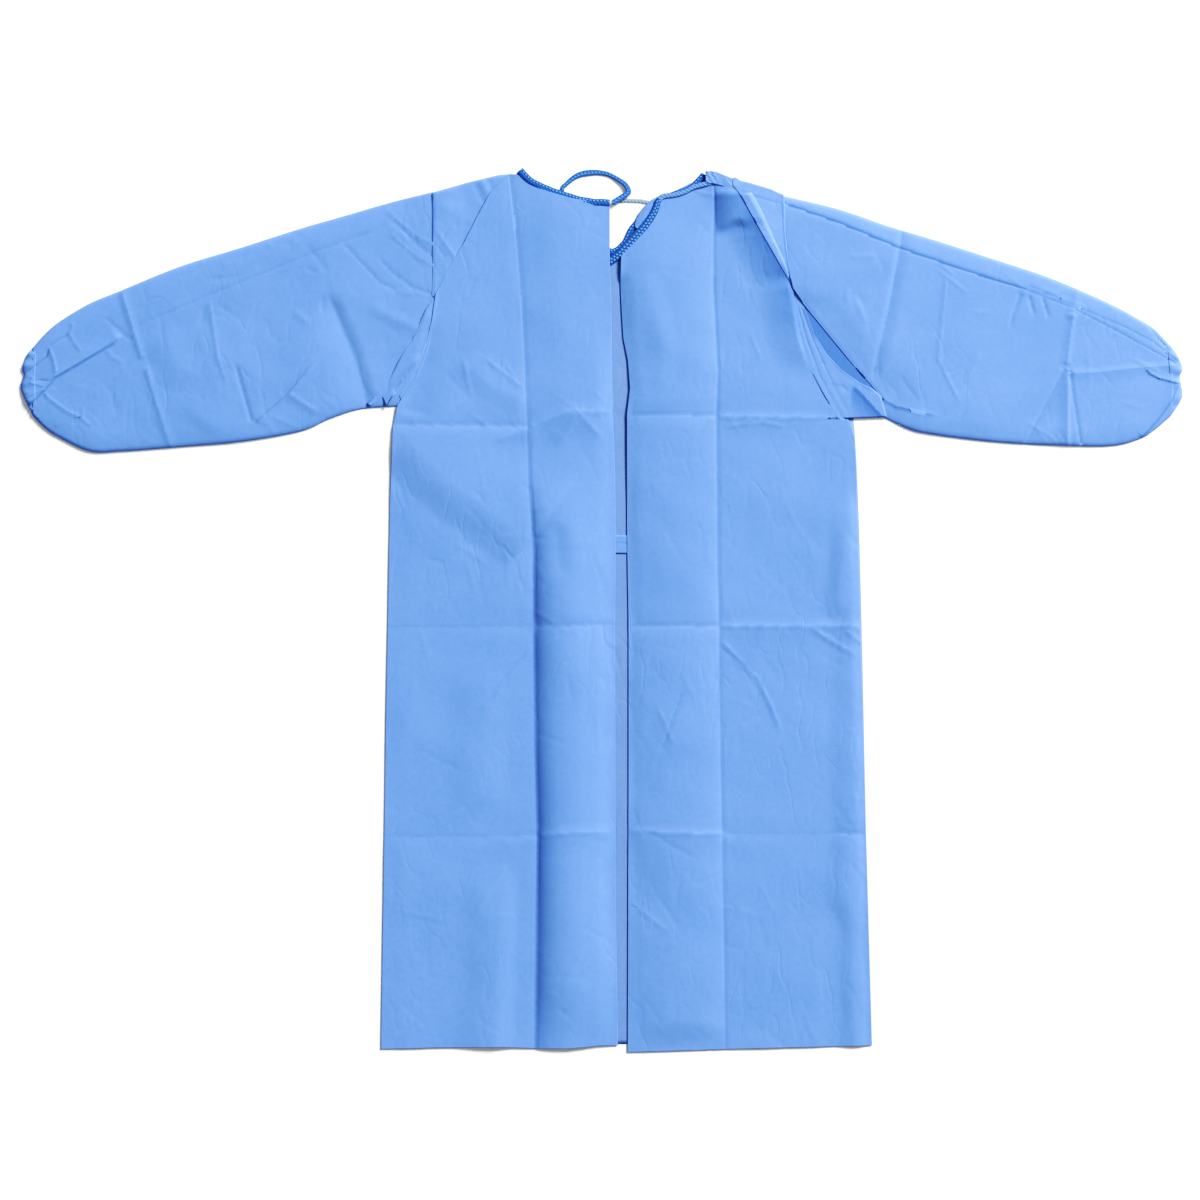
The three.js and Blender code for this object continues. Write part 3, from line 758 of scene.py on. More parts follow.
def right_height(xy):
    low = ease((xy[:, 1] + 700) / 500)
    base = 2.0 + 1.5 * low
    crumple = small_creases(17, 70, (20, 340, -1170, -60), (25, 90), 0.4, (3.5, 7))
    high = base + creased(xy, RIGHT_CREASES + crumple) + waves(xy, 27, 0.8)
    high += swell(xy, INNER_LINE, INNER_SWELL, 40, 120)
    low_edge = -86 + 0.3 * np.clip(xy[:, 0] - 140, 0, 30) + 1.5 * np.sin(xy[:, 0] / 5)
    kept = ease((xy[:, 1] - low_edge) / 15) * ease((-22 - xy[:, 1]) / 10)
    high += swell(xy, DRAWN_LINE, DRAWN_UP, 0, 0) * kept
    slit = nearest(xy, RIGHT_CENTRE[5:])[0]
    edge_high = SLIT_HIGH + 1.5 * ease(1.1 - np.abs(xy[:, 1] + 340) / 130)
    high -= (high - edge_high) * (1 - np.clip(slit / 20, 0, 1)) ** 2
    return levelled(high)


right_down = evenly(1195, PANEL_PITCH, 1, 1)
right_sheets, right_seam_and_shade = [], []
RIGHT_ARMHOLE = [
    (240, -150), (246, -170), (251, -208), (259, -239), (270, -270), (286, -301), (306, -331),
]
# Painted shade along the right packing fold and along the armhole edge.
RIGHT_FOLD_SHADE = [(RIGHT_PACK_FOLD, 0.25, 0, 0), (RIGHT_ARMHOLE, 0.4, 0, 0)]
SHOULDER_SHADE_LINE = [*RIGHT_DIAGONAL, (248, -200), (262, -262)]


def right_shoulder_painted_shade(xy):
    """Painted shade: darker colour from the packing fold towards the shoulder tongue, below the
    shoulder, and along the tongue's folded edge, where the tongue shades the cloth.
    """
    kept = ease((xy[:, 1] + 92) / 18) * ease((-24 - xy[:, 1]) / 8) * (xy[:, 0] > 138.4)
    far, side, run, foot, whole = nearest(xy, SHOULDER_SHADE_LINE)
    beside = (1 - np.clip(far / 50, 0, 1)) ** 1.4 * ease((whole - run) / 120) * ease((run - 10) / 40)
    return np.maximum(0.29 * kept * (1 - 0.5 * np.clip((xy[:, 0] - 150) / 60, 0, 1)), 0.56 * beside)


for top, bottom, west, east, wide, fine_start, fine_end in (
    (RIGHT_NECKLINE, RIGHT_HEM_INNER, RIGHT_CENTRE, RIGHT_PACK_FOLD, 134, 1, 0),
    ([(138, -12), (152, -8), (172, -14)], RIGHT_HEM_OUTER, RIGHT_PACK_FOLD, RIGHT_OUTER, 196, 0, 1),
):
    across = evenly(wide, PANEL_PITCH, fine_start, fine_end)
    flat = patch(top, bottom, west, east, across, right_down)
    inside = flat[20:-1, 1:-1]
    inside[:] = drawn_to(inside.reshape(-1, 2), RIGHT_CREASES, 1.62).reshape(inside.shape)
    xy = flat.reshape(-1, 2)
    right_sheets.append(lifted(flat, right_height(xy)))
    right_seam_and_shade.append(np.maximum(seam_and_shade_darkness(xy, RIGHT_CREASES, RIGHT_FOLD_SHADE), right_shoulder_painted_shade(xy)))

# The shoulder tongue, from its folded edge to the armhole seam, and its turn back underneath.
RIGHT_SEAM = [(231.5, -32), (233.5, -46), (233.5, -77), (235.5, -101), (238.5, -131), (242.5, -153)]
RIGHT_SHOULDER = [(162, -11), (167, -8), (172, -12), (213, -24), (230, -32)]
RIGHT_TONGUE_EDGE = [(162, -11), (163, -20), (171, -30), (185, -54), (205, -89), (224, -122), (241, -151)]
RIGHT_UNDER = [(178, -16), (186, -26), (196, -42), (206, -62), (219, -92), (232, -120), (242, -150)]
RIGHT_TONGUE_CREASES = [
    ([(170, -26), (185, -32), (227, -43)], -0.3, 3, 3, 1.0, 6, 0),
    ([(230, -32), (232, -77), (242, -153)], -0.4, 3, 3, 1.0, 0, 0),
    ([(216, -96), (231, -78)], -0.4, 4, 4, 1.0, 5, 0),
]


def right_tongue_height(xy):
    edge, side, run, foot, whole = nearest(xy, RIGHT_TONGUE_EDGE)
    rolled = 0.25 * (1 - np.clip(edge / 3, 0, 1)) ** 2
    beneath = right_height(foot) + 0.75
    seam = nearest(xy, RIGHT_SEAM)[0]
    across = edge / np.maximum(edge + seam, 0.1)
    far_side = 6.3 + (beneath - 7.1) * ease((-50 - xy[:, 1]) / 60)
    return beneath + (far_side - beneath) * across - rolled + creased(xy, RIGHT_TONGUE_CREASES)


across = evenly(68, 2.3, 1, 0)
down = evenly(150, 2.4)
tongue_end = [RIGHT_TONGUE_EDGE[-1], RIGHT_SEAM[-1]]
flat = patch(RIGHT_SHOULDER, tongue_end, RIGHT_TONGUE_EDGE, RIGHT_SEAM, across, down)
xy = flat.reshape(-1, 2)
right_sheets.append(lifted(flat, right_tongue_height(xy)))
# The armhole seam's darker colour, and painted shade along the tongue's crease.
RIGHT_TONGUE_SEAM_AND_SHADE = [
    ([(229, -32), (231, -77), (233, -101), (241, -153)], 0.7, 0, 0),
    ([(170, -26), (185, -32), (227, -43)], 0.35, 6, 0),
]
right_seam_and_shade.append(seam_and_shade_darkness(xy, [], RIGHT_TONGUE_SEAM_AND_SHADE))
edge_line = along(RIGHT_TONGUE_EDGE, down)
under_line = along(RIGHT_UNDER, down)
edge_high = right_tongue_height(edge_line)
turned = []
for share, drop in ((0.0, 0.0), (-0.01, 0.2), (0.0, 0.35), (0.1, 0.4), (0.5, 0.4), (1.0, 0.4)):
    xy = edge_line + share * (under_line - edge_line)
    turned.append(np.column_stack([xy, edge_high - drop]))
right_sheets.append(np.array(turned))
right_seam_and_shade.append(np.zeros(right_sheets[-1].shape[:2]))

# The gathered point of the shoulder, and the neck corner turned back on itself in a lobe.
flat = patch(
    [(126, 1), (140, 0), (161, -9), (167, -8)], [(126, -15), (139, -17), (163, -24), (172, -30)],
    [(126, 1), (126, -15)], [(167, -8), (172, -30)], evenly(46, 1.2), evenly(20, 1.2),
)
xy = flat.reshape(-1, 2)
gathered = 0.35 * np.sin(xy[:, 0] * 0.8 + 0.5 * xy[:, 1] + np.sin(xy[:, 1]))
gathered = gathered * ease((146 - xy[:, 0]) / 10)
point_high = 4.9 + gathered + 0.02 * (xy[:, 0] - 126) - 0.06 * (1 + xy[:, 1])
right_sheets.append(lifted(flat, point_high))
# Painted shade along the gathered point's lower edge, where it lies over the panel.
right_seam_and_shade.append(seam_and_shade_darkness(xy, [], [([(126, -15), (139, -17), (163, -24)], 0.5, 0, 4)]))
LOBE_EDGE = [(65, -32), (54, -37), (45, -45), (36, -56), (32, -64), (30, -71)]
flat = patch(
    [(65, -32), (62, -35)], [(32, -76), (36, -79)], [*LOBE_EDGE, (32, -76)],
    [(62, -35), (60, -44), (54, -56), (47, -67), (36, -79)],
    evenly(14, 1.4), evenly(56, 1.8),
)
xy = flat.reshape(-1, 2)
lobe_in = nearest(xy, LOBE_EDGE)[0]
lobe_high = 3.6 - 1.6 * (1 - np.clip(lobe_in / 9, 0, 1)) ** 2 + waves(xy, 6, 0.1, 20)
right_sheets.append(lifted(flat, lobe_high))
right_seam_and_shade.append(np.zeros(len(xy)))
right_back = cloth("back_right_cloth", right_sheets, blue_cloth, marks=marked(right_seam_and_shade))
stand_for(right_back, "back_panel_right")


# ---- Sleeves --------------------------------------------------------------------------------
# Each sleeve is one piece of the same cloth, folded round and joined along the arm, and lies flat
# as a tube of two layers that meet at rolled edges.

SLEEVE_PITCH = 2.5
SLEEVE_BASE = 0.55
EDGE_ROLL, EDGE_SLOPE, EDGE_DROP = 5, 26, 0.35
LEFT_SLEEVE_UPPER = curved([
    (-240, -27), (-300, -42), (-362, -60), (-421, -77), (-502, -103), (-583, -128), (-664, -161),
    (-705, -178), (-745, -202), (-765, -219), (-781, -237),
])
LEFT_SLEEVE_LOWER = curved([
    (-290, -316), (-340, -320), (-381, -333), (-421, -350), (-502, -364), (-583, -371), (-664, -377),
    (-705, -377), (-745, -359), (-765, -346), (-781, -330),
])
LEFT_SLEEVE_SEAM = curved([(-240, -27), (-239, -92), (-240, -168), (-254, -244), (-290, -316)])
LEFT_SLEEVE_END = [(-781, -237), (-783, -275), (-781, -330)]
CUFF_FOLD = [(-661, -220), (-671, -231), (-692, -243), (-748, -276), (-764, -294), (-787, -315)]
CUFF_TUCK = [(-759, -239), (-763, -250), (-771, -257), (-793, -273)]
LEFT_SLEEVE_CREASES = [
    ([(-313, -77), (-393, -105), (-468, -136), (-544, -167), (-640, -208)], -0.35, 5, 5, 1.0, 20, 20),
    ([(-662, -163), (-634, -254)], 1.1, 12, 9, 1.0, 0, 6),
    ([(-630, -262), (-620, -298), (-597, -370)], 0.9, 13, 9, 0.9, 6, 0),
    ([(-544, -170), (-533, -246), (-521, -288)], 0.7, 6, 6, 1.0, 15, 20),
    ([(-509, -254), (-485, -339)], -1.0, 5, 6, 1.0, 15, 5),
    ([(-481, -338), (-437, -300), (-393, -246)], 1.1, 9, 12, 1.0, 5, 30),
    ([(-437, -300), (-386, -333)], 0.8, 9, 10, 1.0, 5, 20),
    ([(-385, -160), (-366, -204), (-347, -250), (-331, -306)], -2.6, 17, 44, 0.8, 30, 0),
    ([(-366, -92), (-336, -124), (-312, -150), (-290, -160)], -0.6, 3.5, 5, 1.0, 14, 5),
    ([(-312, -44), (-284, -72), (-262, -88), (-239, -99)], 0.6, 3, 6, 1.0, 12, 0),
    ([(-300, -60), (-270, -90), (-252, -106), (-239, -116)], -0.6, 3, 4, 1.0, 12, 0),
    ([(-302, -82), (-278, -104), (-256, -120), (-239, -128)], 0.5, 3, 4, 1.0, 10, 0),
    ([(-318, -112), (-296, -136), (-268, -156), (-239, -166)], -0.6, 3, 4, 1.0, 12, 0),
    ([(-330, -180), (-290, -200), (-255, -215)], 0.8, 14, 14, 0.5, 14, 10),
    (CUFF_FOLD, 2.0, 3, 24, 1.0, 8, 0),
    ([(-759, -238), (-753, -253), (-749, -272)], 1.1, 3, 7, 1.0, 3, 3),
    (CUFF_TUCK, -1.1, 3, 6, 1.0, 3, 0),
    ([(-760, -236), (-732, -219)], -0.5, 3, 6, 1.0, 3, 5),
    ([(-732, -203), (-727, -208), (-732, -219), (-724, -232), (-715, -244)], 0.7, 3, 5, 1.0, 3, 5),
    ([(-781, -276), (-784, -285), (-764, -290)], 0.7, 3, 4, 0.9, 2, 3),
    ([(-775, -281), (-759, -283), (-750, -276)], -0.7, 3, 4, 0.9, 3, 2),
    ([(-764, -293), (-777, -299), (-789, -305)], 0.6, 3, 4, 0.9, 3, 0),
    ([(-684, -196), (-668, -210), (-655, -222), (-645, -228)], -0.5, 4, 6, 1.0, 6, 6),
    ([(-682, -239), (-674, -250), (-658, -259)], 0.5, 5, 6, 0.7, 4, 6),
    ([(-767, -297), (-758, -307), (-736, -323), (-715, -333)], 0.7, 5, 6, 0.9, 4, 4),
    ([(-715, -315), (-714, -334), (-700, -345)], 0.5, 4, 5, 0.9, 6, 6),
    ([(-752, -345), (-735, -332), (-715, -322)], 0.4, 8, 8, 0.8, 4, 8),
    ([(-782, -323), (-764, -348), (-741, -364), (-707, -377)], 0.5, 5, 5, 0.9, 4, 0),
    ([(-560, -200), (-530, -300), (-560, -350)], 1.2, 40, 40, 0.2, 30, 20),
    ([(-620, -210), (-560, -290)], 1.4, 34, 34, 0.2, 30, 30),
]


def length(points):
    return float(np.hypot(*np.diff(np.array(points, float)[:, :2], axis=0).T).sum())


def sleeve(upper, lower, near_body, far_end, creases, seams, seed, high_at, crumple_box):
    """The two layers of a sleeve: the upper one with its creases, and the plain one it lies on."""
    long = max(length(upper), length(lower))
    across = evenly(long, SLEEVE_PITCH)
    down = evenly(length(far_end) + 190, SLEEVE_PITCH, 1, 1)
    flat = patch(upper, lower, near_body, far_end, across, down)
    inside = flat[2:-2, 1:-1]
    reach = np.interp(np.abs(inside[..., 0].ravel()), (240, 770), (1.6, 1.0))
    inside[:] = drawn_to(inside.reshape(-1, 2), creases, reach).reshape(inside.shape)
    xy = flat.reshape(-1, 2)
    top_edge = nearest(xy, upper)[0]
    low_edge = nearest(xy, lower)[0]
    crumple = small_creases(seed, 34, crumple_box, (18, 70), 0.5, (4, 11))
    body = nearest(xy, near_body)[0]
    moved = ease(body / 7) * creased(xy, creases + crumple)
    free = high_at(xy) + moved + ease(body / 22) * waves(xy, seed, 0.5, 150)
    free = np.maximum(free, 1.3)
    edge = np.minimum(top_edge, low_edge)
    round_in = np.sqrt(1 - (1 - np.clip(edge / EDGE_ROLL, 0, 1)) ** 2)
    soft_in = 1 - EDGE_DROP * (1 - np.clip(edge / EDGE_SLOPE, 0, 1)) ** 2
    high = SLEEVE_BASE + 0.35 + (free * soft_in - SLEEVE_BASE - 0.35) * round_in
    layers = [lifted(flat, high)]
    # Seams darker in their own colour, and painted shade along the hard folds.
    seam_and_shade_parts = [seam_and_shade_darkness(xy, creases, seams)]
    thin = np.array([0, 0.012, 0.05, 0.15, 0.3, 0.5, 0.7, 0.85, 0.95, 0.988, 1])
    under = patch(upper, lower, near_body, far_end, across, thin)
    under_edge = np.minimum(thin, 1 - thin)
    rise = 0.35 * (1 - np.clip(under_edge / 0.05, 0, 1)) ** 2
    under_high = SLEEVE_BASE + np.repeat(rise[:, None], len(across), axis=1)
    layers.append(lifted(under, under_high)[::-1])
    seam_and_shade_parts.append(np.zeros(len(thin) * len(across)))
    return layers, seam_and_shade_parts


def left_sleeve_high(xy):
    near = ease((xy[:, 0] + 400) / 120)
    return 5.2 - 2.3 * near


# Lines coloured darker: a faint line across the upper sleeve, and painted shade along the cuff's fold and
# tuck.
LEFT_SLEEVE_SEAMS_AND_SHADE = [
    ([(-389, -108), (-375, -177)], 0.15, 0, 0),
    ([(-666, -226), (-692, -243), (-748, -276), (-764, -294), (-787, -315)], 0.5, 12, 0),
    (CUFF_TUCK, 0.4, 3, 0),
]
left_sleeve_layers, left_sleeve_seam_and_shade = sleeve(
    LEFT_SLEEVE_UPPER, LEFT_SLEEVE_LOWER, LEFT_SLEEVE_SEAM, LEFT_SLEEVE_END,
    LEFT_SLEEVE_CREASES, LEFT_SLEEVE_SEAMS_AND_SHADE, 31, left_sleeve_high, (-770, -250, -370, -60),
)
left_sleeve = cloth(
    "sleeve_left_cloth", left_sleeve_layers, blue_cloth, marks=marked(left_sleeve_seam_and_shade)
)
stand_for(left_sleeve, "sleeve_left")

RIGHT_SLEEVE_UPPER = curved([
    (230, -32), (308, -51), (372, -73), (429, -90), (510, -116), (591, -143), (672, -178),
    (713, -200), (733, -213), (754, -235),
])
RIGHT_SLEEVE_LOWER = curved([
    (366, -331), (400, -347), (429, -354), (510, -364), (591, -369), (672, -370), (713, -360),
    (733, -348), (754, -330),
])
RIGHT_SLEEVE_BODY = [
    (230, -32), (232, -77), (237, -131), (243, -157), (259, -180), (286, -213), (317, -251),
    (350, -289), (362, -304), (366, -331),
]
RIGHT_SLEEVE_END = [(754, -235), (757, -280), (754, -330)]
ARM_SEAM = [(234, -43), (305, -68), (389, -103), (479, -134), (559, -159)]
LOWER_ARM_SEAM = [(559, -159), (622, -184), (694, -222), (764, -261)]
UPPER_ARM_SEAM = [(561, -153), (627, -182), (694, -211), (730, -230), (764, -257)]
END_FLAP = [(720, -266), (726, -273), (738, -279), (766, -286)]
END_FOLD = [(764, -289), (756, -307), (738, -333), (720, -353), (712, -359)]
UNDERARM_SEAM = [(360, -304), (382, -317), (443, -331)]
RIGHT_SLEEVE_CREASES = [
    (ARM_SEAM, -0.6, 3, 3, 1.0, 0, 10),
    (LOWER_ARM_SEAM, -0.4, 3, 3, 1.0, 10, 0),
    (UPPER_ARM_SEAM, -0.35, 3, 3, 1.0, 10, 0),
    ([(393, -80), (389, -105), (377, -171), (370, -204), (351, -286)], -1.5, 16, 9, 0.9, 4, 20),
    ([(300, -160), (330, -200), (345, -240)], 0.5, 22, 22, 0.3, 30, 30),
    ([(451, -133), (439, -252), (470, -315)], 0.5, 6, 6, 1.0, 20, 20),
    ([(628, -161), (621, -193)], 0.9, 10, 12, 0.5, 0, 0),
    ([(621, -191), (612, -262)], 1.2, 9, 12, 1.0, 3, 5),
    ([(612, -265), (559, -366)], -1.5, 20, 6, 1.0, 4, 0),
    ([(614, -265), (614, -368)], 1.6, 6, 18, 1.0, 4, 0),
    ([(616, -265), (633, -370)], -0.7, 5, 5, 1.0, 6, 0),
    ([(617, -273), (650, -272), (716, -265), (765, -262)], 1.1, 10, 16, 0.9, 6, 0),
    ([(552, -163), (535, -215)], -0.9, 6, 6, 1.0, 4, 14),
    ([(562, -166), (570, -196)], -0.8, 5, 6, 1.0, 3, 8),
    ([(580, -168), (590, -200)], -0.8, 5, 6, 1.0, 3, 8),
    (END_FLAP, 1.1, 12, 3, 1.0, 3, 0),
    (END_FOLD, 1.3, 3.5, 14, 1.0, 0, 4),
    ([(723, -206), (736, -224), (751, -240)], -0.8, 4, 6, 1.0, 4, 4),
    (UNDERARM_SEAM, 0.7, 14, 3, 1.0, 0, 30),
    ([(257, -177), (317, -250), (360, -303)], 0.5, 12, 2, 0.8, 10, 0),
    ([(230, -32), (232, -77), (242, -155)], -0.4, 3, 3, 1.0, 0, 0),
]


def right_sleeve_high(xy):
    near = ease((420 - xy[:, 0]) / 130)
    open_edge = nearest(xy, RIGHT_SLEEVE_BODY[3:])[0]
    low = ease((-150 - xy[:, 1]) / 45) * (1 - np.clip(open_edge / 55, 0, 1)) ** 1.5
    return 5.3 + 0.7 * near - 2.85 * low


# The arm and underarm seams' darker colour, and painted shade along the cuff end's flap and fold.
RIGHT_SLEEVE_SEAMS_AND_SHADE = [
    (ARM_SEAM, 0.8, 0, 0),
    (LOWER_ARM_SEAM, 0.3, 0, 0),
    (UPPER_ARM_SEAM, 0.22, 4, 0),
    (END_FOLD, 0.55, 0, 4),
    (END_FLAP, 0.5, 3, 0),
    (UNDERARM_SEAM, 0.5, 0, 20),
]
right_sleeve_layers, right_sleeve_seam_and_shade = sleeve(
    RIGHT_SLEEVE_UPPER, RIGHT_SLEEVE_LOWER, RIGHT_SLEEVE_BODY, RIGHT_SLEEVE_END,
    RIGHT_SLEEVE_CREASES, RIGHT_SLEEVE_SEAMS_AND_SHADE, 37, right_sleeve_high, (260, 740, -365, -70),
)

# Under the right arm the sleeve opens on a recess and on the gusset, with its joined edges.
GUSSET_BODY = [(241, -152), (245, -170), (250, -208), (258, -239), (269, -270), (285, -301), (304, -333)]
GUSSET_OUT = [
    (244, -152), (259, -182), (273, -219), (288, -244), (308, -266), (333, -284), (352, -293),
    (363, -303), (371, -331),
]
GUSSET_CREASES = [
    ([(250, -180), (262, -225), (280, -275), (309, -329)], -0.4, 3, 3, 0.9, 8, 0),
    ([(254, -180), (270, -225), (291, -272), (318, -326)], -0.35, 3, 3, 0.9, 8, 10),
    ([(270, -270), (283, -256), (289, -262)], -0.4, 3, 3, 0.9, 0, 4),
    ([(291, -288), (312, -290), (322, -300)], -0.35, 4, 10, 0.8, 6, 6),
    ([(322, -290), (360, -330)], -0.3, 3, 12, 0.8, 8, 0),
    ([(259, -182), (273, -219), (308, -266), (351, -294)], 0.5, 4, 4, 0.9, 6, 0),
]
GUSSET_SHADES = [([(324, -288), (362, -330)], 0.75, 8, 0)]
flat = patch(
    [GUSSET_BODY[0], GUSSET_OUT[0]], [GUSSET_BODY[-1], GUSSET_OUT[-1]], GUSSET_BODY, GUSSET_OUT,
    evenly(56, 1.8), evenly(200, 2.2),
)
xy = flat.reshape(-1, 2)
gusset_high = 3.15 + creased(xy, GUSSET_CREASES) + waves(xy, 4, 0.06, 40)
right_sleeve_layers.append(lifted(flat, np.maximum(gusset_high, 2.75)))
# Painted shade on the gusset below the flap's diagonal edge, east of x 321 mm.
flap_shade_mask = np.where(nearest(xy, [(323, -284), (364, -328)])[1] < 0, 1.0, 0.0)
shade = seam_and_shade_darkness(xy, [], GUSSET_SHADES, 30) * flap_shade_mask * ease((xy[:, 0] - 321) / 3)
right_sleeve_seam_and_shade.append(np.maximum(seam_and_shade_darkness(xy, GUSSET_CREASES), shade))
flat = patch(
    [(246, -156), (256, -158)], [(330, -318), (390, -318)],
    [(246, -156), (262, -200), (290, -262), (330, -318)],
    [(256, -158), (300, -205), (345, -258), (390, -318)],
    evenly(50, 5), evenly(190, 5),
)
right_sleeve_layers.append(lifted(flat, np.full(flat.shape[0] * flat.shape[1], 2.62)))
# The recess is coloured darker all over: painted shade under the sleeve's open edge.
right_sleeve_seam_and_shade.append(np.full(flat.shape[:2], 0.62))
right_sleeve = cloth(
    "sleeve_right_cloth", right_sleeve_layers, blue_cloth, marks=marked(right_sleeve_seam_and_shade)
)
stand_for(right_sleeve, "sleeve_right")


# ---- Cuffs ----------------------------------------------------------------------------------
# The sleeve's own end, turned in over a band of elastic that gathers it into small puckers.

LEFT_CUFF_OUT = [
    (-781, -237), (-790, -248), (-796, -265), (-793.5, -275), (-798, -289), (-794, -304),
    (-788, -316), (-781, -330),
]
RIGHT_CUFF_OUT = [
    (754, -235), (764, -249), (770, -266), (766.5, -278), (770, -298), (767, -310), (754, -330),
]


def cuff(name, node, inner, outer, puckers, seed, high_at, creases, seams):
    """The gathered end of a sleeve, as two puckered layers that meet at its rim. Its creases are
    the sleeve's own, carried on over it."""
    across = np.linspace(0, 1, 14)
    down = np.linspace(0, 1, 120)
    flat = patch([inner[0], outer[0]], [inner[-1], outer[-1]], inner, curved(outer), across, down)
    share = np.repeat(down[:, None], len(across), axis=1)
    out = np.repeat(across[None, :], len(down), axis=0)
    dice = np.random.default_rng(seed)
    ripple = np.zeros_like(share)
    for _ in range(5):
        ripple += np.sin(2 * math.pi * (puckers * dice.uniform(0.7, 1.4) * share + dice.uniform(0, 1)))
    ends = np.clip(np.minimum(share, 1 - share) / 0.12, 0, 1)
    xy = flat.reshape(-1, 2)
    from_edge = np.minimum(share, 1 - share) * length(inner)
    soft_in = 1 - EDGE_DROP * (1 - np.clip(from_edge / EDGE_SLOPE, 0, 1)) ** 2
    carried = (high_at(xy) + creased(xy, creases)).reshape(share.shape) * soft_in
    lift = carried - SLEEVE_BASE - 0.5 + 0.4 * ripple * out
    high = SLEEVE_BASE + 0.4 + lift * np.sqrt(np.clip(1 - out**4, 0, 1)) * np.sqrt(ends)
    low = SLEEVE_BASE + 0.4 * out**4
    layers = [lifted(flat, high.ravel()), lifted(flat, low.ravel())[::-1]]
    # The sleeve's seam darkness and its painted shade along hard folds, carried on over the cuff.
    seam_and_shade_parts = [seam_and_shade_darkness(xy, creases, seams), np.zeros(len(xy))]
    made = cloth(name, layers, blue_cloth, marks=marked(seam_and_shade_parts))
    stand_for(made, node)


cuff(
    "cuff_left_cloth", "cuff_left", [(-776, -235), (-778, -275), (-776, -331)], LEFT_CUFF_OUT, 6, 41,
    left_sleeve_high, LEFT_SLEEVE_CREASES, LEFT_SLEEVE_SEAMS_AND_SHADE,
)
cuff(
    "cuff_right_cloth", "cuff_right", [(749, -233), (752, -280), (749, -331)], RIGHT_CUFF_OUT, 5, 43,
    right_sleeve_high, RIGHT_SLEEVE_CREASES, RIGHT_SLEEVE_SEAMS_AND_SHADE,
)


# ---- Neck bindings --------------------------------------------------------------------------
# Strips of darker blue cloth, folded over the neck edges and stitched through in two rows.

BINDING_BLUE = (0.034, 0.116, 0.365)
THREAD_BLUE = (0.190, 0.340, 0.700)
STITCH_MM = 4.8
# Half widths, as shares of a tape's own half width, and strengths of its sewn lines and its stitches.
LINE_HALF, THREAD_HALF, LINE_SHARE, THREAD_SHARE = 0.075, 0.2, 0.55, 0.7


def stitched(name, deep, pale, thread, rows, lines, pale_until=0.0, pale_share=0.0):
    """A binding's finish: its own cloth, darker sewn lines, and rows of short paler stitches. The
    first stretch of it can be of the paler face."""
    finish = cloth_finish(name, deep, 1.2, 0.7, 0.3)
    tree = finish.node_tree
    surface = next(node for node in tree.nodes if node.type == "BSDF_PRINCIPLED")
    pen = Tone(tree)
    place = pen.node("ShaderNodeTexCoord", out=2)
    apart = pen.node("ShaderNodeSeparateXYZ", None, {"Vector": place})
    run, across = apart, Tone(tree, apart.socket.node.outputs[1])
    base = Tone(tree, surface.inputs["Base Color"].links[0].from_socket)
    light = pen.mix(0.5, pale + (1,), tuple(c * 0.9 for c in pale) + (1,))
    first = pen.sum("LESS_THAN", run, pale_until) * 1.0
    base = pen.mix(first + pale_share * (1 - first), base, light)
    dark = 0.0
    for line in lines:
        near = pen.sum("ABSOLUTE", across - line)
        dark = dark + pen.sum("LESS_THAN", near, LINE_HALF)
    shadow = tuple(c * 0.45 for c in deep) + (1,)
    base = pen.mix(LINE_SHARE * pen.sum("MINIMUM", dark, 1.0), base, shadow)
    tick = 0.0
    for line, shift in rows:
        near = pen.sum("LESS_THAN", pen.sum("ABSOLUTE", across - line), THREAD_HALF)
        beat = pen.sum("FRACT", run * (1 / STITCH_MM) + (shift + 0.35 * line))
        tick = tick + near * pen.sum("LESS_THAN", beat, 0.5)
    base = pen.mix(THREAD_SHARE * pen.sum("MINIMUM", tick, 1.0), base, thread + (1,))
    tree.links.new(base.socket, surface.inputs["Base Color"])
    return finish


def tape(
    name, route, width, high, finish, node, dome=0.5, rise=(0, 0), widths=(1, 1)
):
    """A folded strip, stitched along both edges, that follows a route: its back, then its underside."""
    route = curved(route)
    size = length(route)
    down = np.linspace(0, 1, max(12, round(size / 1.0)))
    middle = along(route, down)
    ahead = np.gradient(middle, axis=0)
    ahead = ahead / np.hypot(*ahead.T)[:, None]
    aside = np.column_stack([-ahead[:, 1], ahead[:, 0]])
    dice = np.random.default_rng(len(name) * 7 + int(size))
    sway = 0.3 * np.interp(down, np.linspace(0, 1, 14), dice.normal(0, 1, 14))
    half = width / 2 * np.interp(down, np.linspace(0, 1, len(widths)), widths)
    lift = high + np.interp(down, np.linspace(0, 1, len(rise)), rise)
    rows, marks = [], []

    def lay(t, high_here):
        rows.append(np.column_stack([middle + aside * (t * half + sway)[:, None], high_here]))
        marks.extend((share * size, t) for share in down)

    for t in np.linspace(-1, 1, 17):
        puck = 0.22 * np.sin(down * size * 2 * math.pi / STITCH_MM + 3 * t) * (1 - t * t)
        groove = -0.4 * math.exp(-((abs(t) - 0.72) / 0.1) ** 2)
        groove -= 0.3 * math.exp(-((t - 0.1) / 0.1) ** 2)
        lay(t, lift + dome * (1 - t**4) + groove + puck)
    for t in (0.97, 0.5, 0, -0.5, -0.97):
        lay(t, lift - 0.55 * (1 - t**4) - 0.1)
    marks = np.array(marks).reshape(len(rows), len(down), 2)[::-1].reshape(-1, 2)
    made = cloth(name, [np.array(rows)[::-1]], finish, 0.3, marks)
    stand_for(made, node)
    return made


